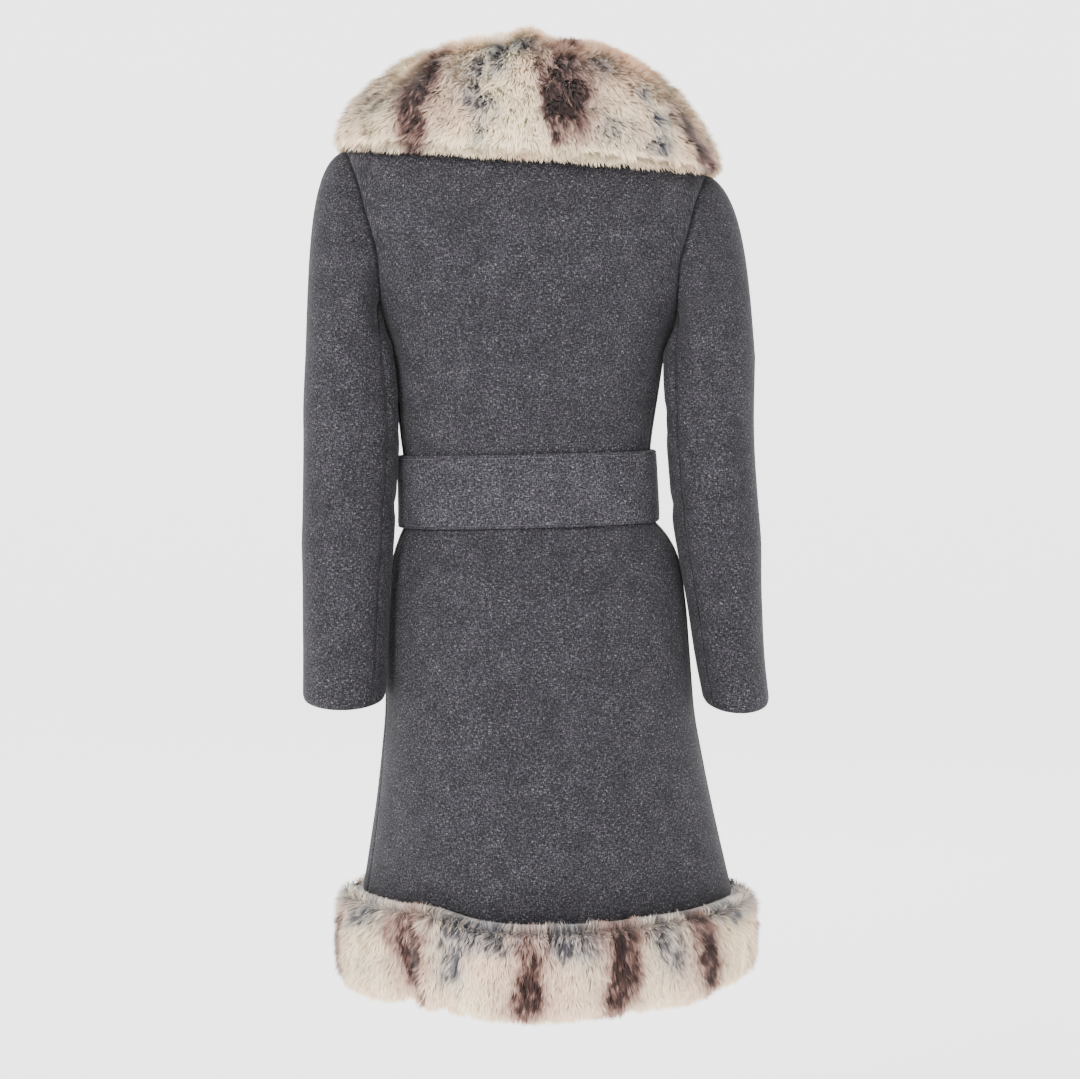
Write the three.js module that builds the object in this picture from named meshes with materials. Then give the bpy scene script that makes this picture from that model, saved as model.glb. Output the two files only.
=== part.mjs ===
// A knee-length wool coat with a wide cloth belt, a deep fur collar and a fur band round the hem.
// It keeps the hollow shape that it has when it is worn, with nobody in it.
// Millimetres. The origin is the middle of the neck opening where the shoulder seams end. +Z is up,
// the front faces +Y, the back faces -Y, and +X is the wearer's right.
// "down" is a depth below the origin. "turn" is an angle round the body in degrees: 0 at the centre
// back, 90 at the wearer's right side, 180 at the centre front and -90 at the left side.
import * as THREE from "three";

const CLOTH = 2.6; // thickness of the wool cloth
const SEAM = 0.3; // gap between two pieces at a seam
const HEM = 855; // depth of the cloth's lower edge
const TIP = 65; // depth of the shoulder tip, where the armhole begins
const UNDERARM = 235; // depth of the armhole's lowest point
const ARMHOLE = { back: 66, front: 60 }; // reach of the armhole behind and before the side line
const ARMHOLE_STEPS = 10; // steps from the underarm up to the shoulder tip
const NECK_DIP = { back: 10, front: 78 }; // how far the neckline drops below the shoulder seams
const OVERLAP = { over: 40, under: 30 }; // reach of each front past the centre
const LIFT = 3.4; // how far the right front stands off where it lies on the left one
const COLLAR_OFF = 3; // clearance between the fur collar and the cloth under it

const BELT = {
  top: 375, bottom: 451.5, thick: 4.4, centre: -5.5,
  half: 135.5, back: 92.5, front: 107, flare: 1.6, tilt: -0.026, step: 5.2, start: 165, sweep: 392,
};

const ARM_STEPS = 2 * ARMHOLE_STEPS; // steps round a sleeve
const BACK_SEAM = 144; // the sleeve's back seam, in degrees from its outer line
const FRONT_SEAM = 216;
const SEAM_DRIFT = 16; // degrees that both sleeve seams move outwards by the cuff
const CUFF_SLANT = 0.2; // the cuff hangs lower at the back by this share of its reach

const columns = (names, rows) =>
  rows.map((row) => Object.fromEntries(names.split(" ").map((name, i) => [name, row[i]])));

// The body's outline at each depth: half its width, its reach behind and before the side line, the
// squareness of the oval, the sideways offset of its middle and the turn of the side seam.
const BODY = columns("at half back front square centre seam", [
  [0, 76, 72, 46, 2.0, 0, 90],
  [22, 116, 86, 58, 2.0, 0, 90],
  [65, 193, 99, 78, 2.05, 0, 90],
  [95, 199, 105, 92, 2.2, 0, 90],
  [125, 199, 108, 102, 2.3, 0, 90],
  [180, 181, 109, 114, 2.3, 0, 90],
  [235, 157, 106, 121, 2.3, -1, 90],
  [264, 147.5, 103, 121, 2.3, -2, 85],
  [314, 141, 97, 114, 2.3, -4, 79],
  [366, 134.5, 92, 104, 2.3, -6, 77],
  [380, 133, 90, 101, 2.3, -6, 77],
  [412, 132, 89, 100, 2.3, -5.5, 77],
  [446, 134, 91, 101.5, 2.3, -4, 77],
  [463, 144, 98, 107, 2.3, -1, 77],
  [487, 154, 107, 112, 2.3, 0.5, 78],
  [535, 161, 117, 117, 2.3, 0.5, 79],
  [588, 164.5, 124, 121, 2.25, 0, 80],
  [651, 167.5, 131, 126, 2.2, 0, 80],
  [702, 174, 136, 131, 2.15, 0, 80],
  [754, 182, 140, 136, 2.1, 0, 80],
  [806, 191.5, 144, 141, 2.0, 0, 80],
  [855, 201, 148, 147, 1.95, 0, 80],
]);

// How the coat hangs: the sideways lean of its middle line, and how much lower its right side is.
const HANG = columns("at lean tilt", [
  [-80, 5, 0],
  [-30, 4.5, 0.004],
  [30, 4, 0.045],
  [65, 4.5, 0.066],
  [110, 5.5, 0.06],
  [366, 10.4, 0.004],
  [450, 13, 0],
  [640, 18.6, 0.006],
  [780, 25, 0.006],
  [857, 27.5, 0],
  [960, 28, 0],
]);

// Soft flutes of the skirt. "out" is their reach at the hem and "lift" raises the hem there.
const FLUTES = columns("turn width out lift", [
  [-62, 24, -6, 7],
  [-36, 13, 0, 9],
  [-8, 34, 6, 0],
  [34, 16, -3, 2],
  [66, 18, 4, 6],
  [104, 17, -4, 3],
  [142, 22, 5, -1],
  [-104, 20, 4, 2],
  [-146, 22, -4, 1],
]);
const FLUTE_TOP = 520; // depth where the flutes begin

// Creases of the bodice: a trough if "out" is negative, with its middle, reach and slope.
const CREASES = columns("turn down wide tall out slope", [
  [8, 352, 34, 13, 2.6, 0],
  [-34, 356, 22, 9, 2.2, 0],
  [22, 335, 26, 7, -2.2, 0.25],
  [-70, 300, 9, 40, -2.5, 0],
  [66, 300, 9, 44, -3, 0],
  [150, 318, 30, 12, -2.5, 0.3],
  [-150, 322, 30, 12, -2.5, -0.3],
  [152, 350, 26, 9, 2.5, 0],
  [-148, 352, 26, 9, 2.5, 0],
]);

// The sleeves' ovals: their middle beside and behind the side line, and their half sizes.
const LEFT_SLEEVE = columns("at out fore half deep", [
  [268, 193.6, -22, 45.2, 57],
  [345, 191.6, -29, 51.2, 55],
  [443, 196.5, -40, 49.4, 53],
  [482, 198.6, -46, 48.2, 51],
  [535, 201.6, -52, 46.2, 49],
  [588, 204.1, -54, 44.9, 48],
  [634, 207.5, -50, 43.9, 47],
]);
const RIGHT_SLEEVE = columns("at out fore half deep", [
  [268, 192.4, -22, 47.9, 57],
  [345, 191.3, -18, 47.1, 55],
  [443, 194.8, -20, 46.7, 54],
  [482, 197.3, -26, 44.5, 53],
  [535, 201.3, -30, 40.3, 51],
  [588, 205.6, -26, 37.6, 50],
  [638, 212, -20, 35.6, 50],
]);
const SLEEVE_CREASES = columns("angle down wide tall out", [
  [60, 190, 26, 60, -2],
  [150, 330, 40, 9, -2.4],
  [120, 385, 46, 10, -2],
  [170, 430, 40, 9, -2.6],
  [-150, 350, 40, 9, -2.4],
  [-120, 405, 44, 10, -2.6],
  [40, 470, 40, 22, 1.6],
  [-60, 520, 40, 16, -1.8],
]);

// The fur collar's cut at each turn: height of its fold, depth of its outer edge, reach of the fur
// past the cloth, how full it is (2 is a round shoulder) and how far the fold leans outwards.
const COLLAR = columns("at fold edge fall full lean", [
  [0, 58, 73, 34, 2.1, 10],
  [35, 56, 72, 31, 1.75, 9],
  [60, 55, 70, 25, 1.3, 5],
  [90, 62, 64, 17, 1.24, 3],
  [120, 54, 73, 25, 1.3, 6],
  [150, 32, 104, 30, 1.8, 11],
  [178, 8, 132, 32, 2.0, 14],
]);
const COLLAR_SPLIT = 7; // turn where its two halves meet behind the neck
const COLLAR_END = 177.6; // turn where each half of the collar ends at the centre front
const COLLAR_SECTIONS = 22; // sections in each half
// Lumps of the fur. "out" swells the collar there and "up" raises its fold.
const COLLAR_LUMPS = columns("turn width out up", [
  [0, 8, 2, 10],
  [28, 12, -2, -2],
  [52, 12, 2, 3],
  [-30, 13, 3, 1],
  [-56, 9, -3, -3],
  [-88, 20, -7, 1],
  [82, 10, -1, -3],
  [112, 14, 3, 2],
  [-118, 14, 3, 1],
  [146, 12, -2, -2],
  [-148, 12, -2, -3],
]);

// The hem band's cut, as reach outwards and upwards from the cloth's lower edge, inner side first.
const BAND = columns("out up", [
  [-14, -38], [-12, -12], [-9, -0.8], [8, -0.8], [13, 5], [22, 4], [30, -7],
  [34, -28], [34, -60], [30, -82], [20, -93], [6, -97], [-7, -92], [-13, -74],
]);
const BAND_SECTIONS = 88;
// Partings between the band's lobes: "in" draws the fur in there, and "up" shortens it.
const PARTINGS = columns("turn width in up", [
  [-92, 6, 3, 2],
  [-43, 4.5, 12, 14],
  [-28, 5, 6, 6],
  [-4, 8, 2, -1],
  [25, 7, 3, 2],
  [58, 6, 3, 4],
  [90, 6, 3, 2],
  [122, 6, 7, 6],
  [154, 6, 3, 2],
  [-120, 6, 7, 6],
  [-152, 6, 3, 2],
]);
// Long swells of the band: "down" makes it hang lower there.
const SWELLS = columns("turn width out down", [
  [-8, 26, 2, 4],
  [-68, 18, 9, 3],
  [76, 22, -2, -12],
  [130, 30, 1, -2],
  [-130, 30, 1, -2],
]);

// The value of one of a table's columns at any place between its rows, on a smooth curve that
// never swings past them.
function smooth(table, column, at) {
  const last = table.length - 1;
  if (at <= table[0].at) return table[0][column];
  if (at >= table[last].at) return table[last][column];
  let i = 0;
  while (table[i + 1].at < at) i++;
  const slope = (k) =>
    (table[k + 1][column] - table[k][column]) / (table[k + 1].at - table[k].at);
  const tangent = (k) => {
    if (k === 0) return slope(0);
    if (k === last) return slope(last - 1);
    const [before, after] = [slope(k - 1), slope(k)];
    return before * after <= 0 ? 0 : (2 * before * after) / (before + after);
  };
  const step = table[i + 1].at - table[i].at;
  const t = (at - table[i].at) / step;
  const [t2, t3] = [t * t, t * t * t];
  return (
    (2 * t3 - 3 * t2 + 1) * table[i][column] +
    (t3 - 2 * t2 + t) * step * tangent(i) +
    (3 * t2 - 2 * t3) * table[i + 1][column] +
    (t3 - t2) * step * tangent(i + 1)
  );
}

const radians = THREE.MathUtils.degToRad;
const mix = THREE.MathUtils.lerp;
const ease = (x, low, high) => THREE.MathUtils.smoothstep(x, low, high);
const power = (x, e) => Math.sign(x) * Math.abs(x) ** e;
const bump = (x, width) => Math.exp(-((x / width) ** 2));
const apart = (a, b) => ((((a - b) % 360) + 540) % 360) - 180; // degrees from b to a
const sumOf = (table, turn, column) =>
  table.reduce((sum, row) => sum + row[column] * bump(apart(turn, row.turn), row.width), 0);

// Leans and tilts a point as the coat hangs.
function hang(p) {
  const shift = smooth(HANG, "lean", -p.z);
  const tilt = smooth(HANG, "tilt", -p.z);
  return new THREE.Vector3(p.x + shift, p.y, p.z - tilt * p.x);
}

// A point of an oval with the given sizes.
function oval(turn, half, back, front, square) {
  const [s, c] = [Math.sin(radians(turn)), Math.cos(radians(turn))];
  return [half * power(s, 2 / square), -(c > 0 ? back : front) * power(c, 2 / square)];
}

// How far the cloth stands off its plain oval, by its flutes and creases.
function relief(turn, down) {
  const share = ease(down, FLUTE_TOP, HEM);
  const flutes = share * share * sumOf(FLUTES, turn, "out");
  return CREASES.reduce((sum, c) => {
    const side = apart(turn, c.turn);
    const low = down - c.down - c.slope * side;
    return sum + c.out * bump(side, c.wide) * bump(low, c.tall);
  }, flutes);
}

function bodyPlain(turn, down) {
  const size = (column) => smooth(BODY, column, down);
  const [x, y] = oval(turn, size("half"), size("back"), size("front"), size("square"));
  const lift = ease(down, FLUTE_TOP, HEM) * sumOf(FLUTES, turn, "lift");
  const p = new THREE.Vector3(x, y, lift - down);
  const level = new THREE.Vector3(x / size("half") ** 2, y / size(y < 0 ? "back" : "front") ** 2, 0);
  p.addScaledVector(level.normalize(), relief(turn, down));
  p.x += size("centre");
  return p;
}

// A point of the body, "off" millimetres outside its outer face.
function body(turn, down, off = 0) {
  const step = 0.6;
  const across = bodyPlain(turn + step, down).sub(bodyPlain(turn - step, down));
  const along = bodyPlain(turn, Math.max(down - step, 0)).sub(bodyPlain(turn, down + step));
  const normal = across.cross(along).normalize();
  return bodyPlain(turn, down).addScaledVector(normal, off);
}

const neckline = (turn) => {
  const c = Math.cos(radians(turn));
  return c > 0 ? NECK_DIP.back * c * c : NECK_DIP.front * Math.abs(c) ** 4.6;
};

// Closes a wall between an outer and an inner grid of points. Both hold rows of points, and the
// rows run round the outer face anticlockwise as seen from outside when they go up.
function wall(name, outer, inner, material, round = false) {
  const [rows, wide] = [outer.length, outer[0].length];
  const points = [...outer.flat(), ...inner.flat()].map(hang);
  const at = (layer, i, j) => layer * rows * wide + i * wide + (round ? j % wide : j);
  const faces = [];
  const quad = (a, b, c, d) => faces.push(a, b, c, a, c, d);
  const last = round ? wide : wide - 1;
  for (let i = 0; i < rows - 1; i++) {
    for (let j = 0; j < last; j++) {
      quad(at(0, i, j), at(0, i, j + 1), at(0, i + 1, j + 1), at(0, i + 1, j));
      quad(at(1, i, j), at(1, i + 1, j), at(1, i + 1, j + 1), at(1, i, j + 1));
    }
    if (!round) {
      quad(at(0, i, 0), at(0, i + 1, 0), at(1, i + 1, 0), at(1, i, 0));
      quad(at(0, i, last), at(1, i, last), at(1, i + 1, last), at(0, i + 1, last));
    }
  }
  for (let j = 0; j < last; j++) {
    quad(at(0, 0, j), at(1, 0, j), at(1, 0, j + 1), at(0, 0, j + 1));
    quad(at(0, rows - 1, j), at(0, rows - 1, j + 1), at(1, rows - 1, j + 1), at(1, rows - 1, j));
  }
  return mesh(name, points, faces, material);
}

// A solid swept through closed sections of points, with flat ends.
function swept(name, sections, flat, material) {
  const count = sections[0].length;
  const points = sections.flat().map(hang);
  const faces = [];
  for (let i = 0; i < sections.length - 1; i++) {
    for (let j = 0; j < count; j++) {
      const [a, b] = [i * count + j, i * count + ((j + 1) % count)];
      faces.push(a, b, b + count, a, b + count, a + count);
    }
  }
  const { isClockWise, triangulateShape } = THREE.ShapeUtils;
  const base = (sections.length - 1) * count;
  for (const end of triangulateShape(flat, [])) {
    const against = isClockWise(flat) !== isClockWise(end.map((k) => flat[k]));
    const [a, b, c] = against ? end.reverse() : end;
    faces.push(a, c, b);
    faces.push(base + a, base + b, base + c);
  }
  return mesh(name, points, faces, material);
}

function mesh(name, points, faces, material) {
  const geometry = new THREE.BufferGeometry().setFromPoints(points);
  geometry.setIndex(faces);
  if (volume(points, faces) < 0) {
    geometry.setIndex(faces.map((_, i) => faces[i - (i % 3) + 2 - (i % 3)]));
  }
  geometry.computeVertexNormals();
  const made = new THREE.Mesh(geometry, material);
  made.name = name;
  return made;
}

function volume(points, faces) {
  let sum = 0;
  for (let i = 0; i < faces.length; i += 3) {
    const [a, b, c] = [points[faces[i]], points[faces[i + 1]], points[faces[i + 2]]];
    sum += a.dot(new THREE.Vector3().crossVectors(b, c));
  }
  return sum;
}

const wool = new THREE.MeshStandardMaterial({ color: 0x55545a, roughness: 0.95, metalness: 0 });
const fur = new THREE.MeshStandardMaterial({ color: 0xd9cdc4, roughness: 0.9, metalness: 0 });

// The depths of the body's rows, from the hem up. Rows in the armhole follow its steps.
const ROWS = [
  ...[HEM, 815, 770, 720, 660, 600, 545, 505, 480, 463, 450, 432, 404, 378],
  ...[364, 348, 328, 302, 268],
  ...Array.from({ length: ARMHOLE_STEPS + 1 }, (_, i) => armholeDepth(i)),
  ...[46, 24, 0],
];

function armholeDepth(i) {
  const middle = (TIP + UNDERARM) / 2;
  return middle + ((UNDERARM - TIP) / 2) * Math.cos((Math.PI * i) / ARMHOLE_STEPS);
}

// The turn of the armhole's edge at a depth, counted from the centre back or the centre front.
function armholeTurn(down, reach, column) {
  const middle = (TIP + UNDERARM) / 2;
  const high = (down - middle) / ((UNDERARM - TIP) / 2);
  const y = reach * Math.sqrt(Math.max(0, 1 - high * high));
  const share = (y / smooth(BODY, column, down)) ** (smooth(BODY, "square", down) / 2);
  return (Math.acos(share) * 180) / Math.PI;
}

// The turn of a panel's side edge at a depth: its side seam, armhole or shoulder seam.
function sideEdge(down, column) {
  const inset = THREE.MathUtils.radToDeg(SEAM / 2 / smooth(BODY, column, down));
  if (down > UNDERARM + 0.01) {
    const seam = smooth(BODY, "seam", down);
    return (column === "back" ? seam : 180 - seam) - inset;
  }
  if (down < TIP + 0.01) return 90 - inset;
  return Math.min(armholeTurn(down, ARMHOLE[column], column), 90 - inset);
}

// Turns spread evenly between stops, with this many steps from each stop to the next.
const spread = (stops, steps) => [
  stops[0],
  ...steps.flatMap((count, k) =>
    Array.from({ length: count }, (_, j) => mix(stops[k], stops[k + 1], (j + 1) / count))),
];

const MIDDLE = 46; // turn within which a panel's columns run straight up and down

// One cloth panel. "turns" gives the turn of each of its columns at a depth, and "offset" how far
// it stands off the body. The neckline bends its uppermost rows.
function panel(name, centre, turns, offset) {
  const rows = ROWS.map((down) => {
    const share = Math.max(1 - down / UNDERARM, 0) ** 1.6;
    const [first, ...rest] = turns(down);
    const reach = Math.max(...[first, ...rest].map((turn) => Math.abs(turn - centre)));
    const dip = (turn) => share * neckline(centre + (90 * (turn - centre)) / reach);
    return [first, ...rest].map((turn) => [turn, down + dip(turn)]);
  });
  const face = (off) =>
    rows.map((row) => row.map(([turn, down]) => body(turn, down, offset(turn, down) + off)));
  return wall(name, face(0), face(-CLOTH), wool);
}

function back() {
  const turns = (down) => {
    const edge = sideEdge(down, "back");
    return spread([-edge, -MIDDLE, MIDDLE, edge], [4, 16, 4]);
  };
  return panel("back", 0, turns, () => 0);
}

// The turn that reaches this far past the centre line.
const past = (reach, down) =>
  THREE.MathUtils.radToDeg(reach / smooth(BODY, "half", Math.max(down, TIP)));

function rightFront() {
  const turns = (down) => {
    const under = 180 - past(OVERLAP.under, down);
    const [side, free] = [180 - sideEdge(down, "front"), 180 + past(OVERLAP.over, down)];
    return spread([side, 180 - MIDDLE, under - 8, under - 2, free], [4, 3, 1, 3]);
  };
  const offset = (turn, down) => {
    const under = 180 - past(OVERLAP.under, down);
    return LIFT * Math.min(Math.max((turn - under + 8) / 6, 0), 1);
  };
  return panel("front_right", 180, turns, offset);
}

function leftFront() {
  const turns = (down) => {
    const free = -180 - past(OVERLAP.under, down);
    return spread([free, MIDDLE - 180, sideEdge(down, "front") - 180], [7, 4]);
  };
  return panel("front_left", -180, turns, () => 0);
}

// The sleeve on one side: side is 1 for the wearer's right and -1 for the left. "angle" goes round
// it from its outer line over the back, and "run" from the armhole at 0 to the cuff at 2.
function sleevePoint(side, table, angle, run) {
  const [s, c] = [Math.sin(radians(angle)), Math.cos(radians(angle))];
  const upper = (1 + c) / 2; // 1 on the outer line, 0 under the arm
  const tube = (down, drift) => {
    const size = (column) => smooth(table, column, down);
    const turned = radians(angle - drift * Math.sign(s) * Math.abs(s));
    const x = size("out") + size("half") * Math.cos(turned);
    const y = size("fore") - size("deep") * Math.sin(turned);
    const slant = CUFF_SLANT * (y - size("fore")) * ease(down, 480, 640);
    return new THREE.Vector3(x, y, slant - down);
  };
  const top = table[0].at;
  if (run >= 1) {
    const down = mix(top, table[table.length - 1].at, run - 1);
    return creased(tube(down, SEAM_DRIFT * (run - 1)), table, angle, down);
  }
  const down = (TIP + UNDERARM) / 2 - ((UNDERARM - TIP) / 2) * c;
  const depth = s > 0 ? -ARMHOLE.back * s : -ARMHOLE.front * s;
  const column = s > 0 ? "back" : "front";
  const square = smooth(BODY, "square", down);
  const reach = smooth(BODY, "half", down);
  const share = 1 - (Math.abs(depth) / smooth(BODY, column, down)) ** square;
  const start = new THREE.Vector3(reach * share ** (1 / square), depth, -down);
  start.x += side * smooth(BODY, "centre", down);
  const way = new THREE.Vector3(mix(3, 38, upper), -8 * s, -mix(8, 14, upper));
  start.addScaledVector(way.clone().normalize(), SEAM);
  start.x += 2 * SEAM;
  const end = tube(top, 0);
  const low = end.clone().add(new THREE.Vector3(-6 * upper, 0, mix(8, 105, upper)));
  const curve = new THREE.CubicBezierCurve3(start, start.clone().add(way), low, end);
  const p = curve.getPoint(run);
  return creased(p, table, angle, -p.z);
}

function creased(p, table, angle, down) {
  const middle = smooth(table, "out", down);
  const level = new THREE.Vector3(p.x - middle, p.y - smooth(table, "fore", down), 0).normalize();
  const off = SLEEVE_CREASES.reduce(
    (sum, c) => sum + c.out * bump(apart(angle, c.angle), c.wide) * bump(down - c.down, c.tall), 0);
  return p.addScaledVector(level, off * ease(down, 120, 200));
}

// The runs of the sleeve's rows, from the cuff up to the armhole.
const RUNS = [
  ...[2, 1.93, 1.84, 1.75, 1.66, 1.57, 1.48, 1.39, 1.3, 1.22, 1.14, 1.07, 1],
  ...[0.84, 0.66, 0.48, 0.3, 0.14, 0],
];

function sleevePiece(name, side, table, from, to) {
  const step = 360 / ARM_STEPS;
  const inset = THREE.MathUtils.radToDeg(SEAM / 2 / 44);
  const angles = [from + inset];
  for (let a = from + step; a < to - 1; a += step) angles.push(a);
  angles.push(to - inset);
  const place = (angle, run, off) => {
    const p = sleevePoint(side, table, angle, run);
    const across = sleevePoint(side, table, angle + 1, run).sub(sleevePoint(side, table, angle - 1, run));
    const [high, low] = [Math.max(run - 0.02, run < 1 ? 0 : 1), Math.min(run + 0.02, 2)];
    const along = sleevePoint(side, table, angle, high).sub(sleevePoint(side, table, angle, low));
    p.addScaledVector(along.cross(across).normalize(), off);
    p.x *= side;
    return p;
  };
  const face = (off) => RUNS.map((run) => angles.map((angle) => place(angle, run, off)));
  return wall(name, face(0), face(-CLOTH), wool);
}

function sleeve(label, side, table) {
  return [
    sleevePiece("sleeve_" + label + "_upper", side, table, FRONT_SEAM - 360, BACK_SEAM),
    sleevePiece("sleeve_" + label + "_under", side, table, BACK_SEAM, FRONT_SEAM),
  ];
}

// The belt is one strip that goes once round the waist and laps over its own end at the front.
function belt() {
  const steps = 54;
  const levels = [BELT.bottom, BELT.bottom - 4, (BELT.top + BELT.bottom) / 2, BELT.top + 4, BELT.top];
  const place = (turn, level, off) => {
    const share = (level - BELT.top) / (BELT.bottom - BELT.top);
    const grow = BELT.flare * share + off;
    const [x, y] = oval(turn, BELT.half + grow, BELT.back + grow, BELT.front + grow, 2.3);
    return new THREE.Vector3(x + BELT.centre, y, -level - BELT.tilt * x);
  };
  const face = (off) =>
    levels.map((level, k) =>
      Array.from({ length: steps + 1 }, (_, i) => {
        const gone = (i / steps) * BELT.sweep;
        const lap = BELT.step * ease(gone, 300, 350);
        const rim = k === 0 || k === levels.length - 1 ? 0.8 : 0;
        return place(BELT.start + gone, level, lap + off - (off > 0 ? rim : -rim));
      }));
  return wall("belt", face(BELT.thick), face(0), wool);
}

// Half of the fur collar: side is 1 for the wearer's right. Its turns are counted towards that side.
function collar(label, side) {
  const outerSteps = 8;
  const section = (turn) => {
    const size = (column) => smooth(COLLAR, column, Math.abs(turn));
    const end = ease(turn, 166, 179) ** 2;
    const lump = sumOf(COLLAR_LUMPS, side * turn, "out") - 14 * end;
    const rise = sumOf(COLLAR_LUMPS, side * turn, "up") - 12 * end;
    const [start, edge] = [neckline(turn), size("edge") - 9 * end];
    const off = COLLAR_OFF + LIFT * ease(turn, 146, 162);
    const seat = [0, 0.25, 0.5, 0.75, 1].map((t) =>
      body(turn, mix(start, edge, t), t ? off : 2.5 * SEAM + off - COLLAR_OFF));
    const neck = seat[0];
    const out = new THREE.Vector3(neck.x, neck.y, 0).normalize();
    const rim = seat[seat.length - 1];
    const [ox, oy] = oval(turn, 1, 0.62, 0.62, 2);
    const away = new THREE.Vector3(ox, oy, 0).normalize();
    const fall = size("fall") + lump;
    const top = neck.clone().addScaledVector(out, size("lean"));
    top.z = size("fold") + rise;
    const lower = rim.clone().addScaledVector(away, fall);
    lower.z = rim.z + 7;
    const bulge = 2 / size("full");
    const crown = Array.from({ length: outerSteps }, (_, k) => {
      const t = (Math.PI / 2) * (1 - k / (outerSteps - 1));
      const p = top.clone().lerp(lower, Math.sin(t) ** bulge);
      p.z = mix(lower.z, top.z, Math.cos(t) ** bulge);
      return p;
    });
    const inner = (across, high) => {
      const p = neck.clone().addScaledVector(out, across);
      p.z = mix(neck.z, top.z, high);
      return p;
    };
    return [
      ...seat,
      rim.clone().addScaledVector(away, fall * 0.3).setZ(rim.z - 3),
      rim.clone().addScaledVector(away, fall * 0.75).setZ(rim.z),
      ...crown,
      inner(-8, 0.95), inner(-16, 0.78), inner(-18, 0.4), inner(-14, 0.08),
    ];
  };
  const turns = Array.from({ length: COLLAR_SECTIONS + 1 }, (_, i) =>
    mix(side * COLLAR_SPLIT + 0.1, COLLAR_END, i / COLLAR_SECTIONS));
  const sections = turns.map((turn) =>
    section(turn).map((p) => new THREE.Vector3(p.x * side, p.y, p.z)));
  const flat = sections[0].map((p) => new THREE.Vector2(p.y, p.z));
  return swept("fur_collar_" + label, sections, flat, fur);
}

// The fur band under the cloth's hem. It is open at the right front's free edge.
function band() {
  const opening = 180 + past(OVERLAP.over, HEM);
  const section = (turn) => {
    const base = bodyPlain(turn, HEM);
    const [x, y] = oval(turn, 1, 0.75, 0.75, 2);
    const away = new THREE.Vector3(x, y, 0).normalize();
    const drawn = sumOf(PARTINGS, turn, "in") - sumOf(SWELLS, turn, "out");
    const short = sumOf(PARTINGS, turn, "up") - sumOf(SWELLS, turn, "down") - sumOf(FLUTES, turn, "lift");
    return BAND.map(({ out, up }) => {
      const low = Math.min(Math.max((-up - 10) / 85, 0), 1);
      const p = base.clone().addScaledVector(away, out > 10 ? out - drawn * low ** 0.5 : out);
      p.z += up + short * low;
      return p;
    });
  };
  const sections = Array.from({ length: BAND_SECTIONS + 1 }, (_, i) =>
    section(opening + 0.4 + (359.2 * i) / BAND_SECTIONS));
  const flat = BAND.map(({ out, up }) => new THREE.Vector2(out, up));
  return swept("fur_hem", sections, flat, fur);
}

const coat = new THREE.Group();
coat.add(back(), rightFront(), leftFront());
coat.add(...sleeve("right", 1, RIGHT_SLEEVE), ...sleeve("left", -1, LEFT_SLEEVE));
coat.add(belt(), collar("right", 1), collar("left", -1), band());

export default coat;
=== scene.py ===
import math

import bpy
import numpy as np
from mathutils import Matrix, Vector


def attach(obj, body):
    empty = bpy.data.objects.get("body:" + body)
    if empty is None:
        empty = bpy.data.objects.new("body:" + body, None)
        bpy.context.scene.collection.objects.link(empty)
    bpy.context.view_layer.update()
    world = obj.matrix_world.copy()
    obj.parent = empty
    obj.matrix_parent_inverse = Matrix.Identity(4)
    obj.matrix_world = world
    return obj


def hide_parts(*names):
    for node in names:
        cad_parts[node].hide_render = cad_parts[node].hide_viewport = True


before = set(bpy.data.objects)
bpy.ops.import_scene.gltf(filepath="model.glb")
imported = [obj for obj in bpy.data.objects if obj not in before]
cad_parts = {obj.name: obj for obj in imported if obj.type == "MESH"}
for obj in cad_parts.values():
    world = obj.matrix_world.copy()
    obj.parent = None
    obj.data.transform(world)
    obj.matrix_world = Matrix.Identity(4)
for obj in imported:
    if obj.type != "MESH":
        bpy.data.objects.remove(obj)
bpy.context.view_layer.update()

# The coat's own tables, in millimetres, as the solids have them but with finer creases. "down" is
# a depth below the origin. "turn" is an angle round the body: 0 at the centre back, 90 at the
# wearer's right side, 180 at the centre front and -90 at the left side.
MM = 0.001
CLOTH = 2.6  # thickness of the wool cloth
SEAM = 0.05  # gap that shows between two pieces at a seam
SEAT = 0.75  # clearance of the fur collar at its own seams
HEM = 855  # depth of the cloth's lower edge
TIP, UNDERARM = 65, 235  # depths of the armhole's top and lowest point
ARM_MIDDLE, ARM_REACH = (TIP + UNDERARM) / 2, (UNDERARM - TIP) / 2
ARMHOLE = {"back": 66, "front": 60}  # reach of the armhole behind and before the side line
NECK_DIP = {"back": 10, "front": 78}  # how far the neckline drops below the shoulder seams
OVER, UNDER = 40, 30  # reach of the right and the left front past the centre
LIFT = 3.4  # how far the right front stands off where it lies on the left one
MIDDLE = 46  # turn within which a panel's columns run straight up and down
COLLAR_OFF = 3  # clearance between the fur collar and the cloth under it
BACK_SEAM, FRONT_SEAM = 144, 216  # the sleeve's seams, in degrees from its outer line
SEAM_DRIFT = 16  # degrees that both sleeve seams move outwards by the cuff
CUFF_SLANT = 0.2  # the cuff hangs lower at the back by this share of its reach
ARM_STEPS = 60  # steps round a sleeve
ALLOWANCE = 6  # how far the sleeve's seam allowance reaches inside the armhole


def columns(names, *rows):
    """A table as one array for each named column."""
    return dict(zip(names.split(), np.array(rows, float).T))


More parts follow.
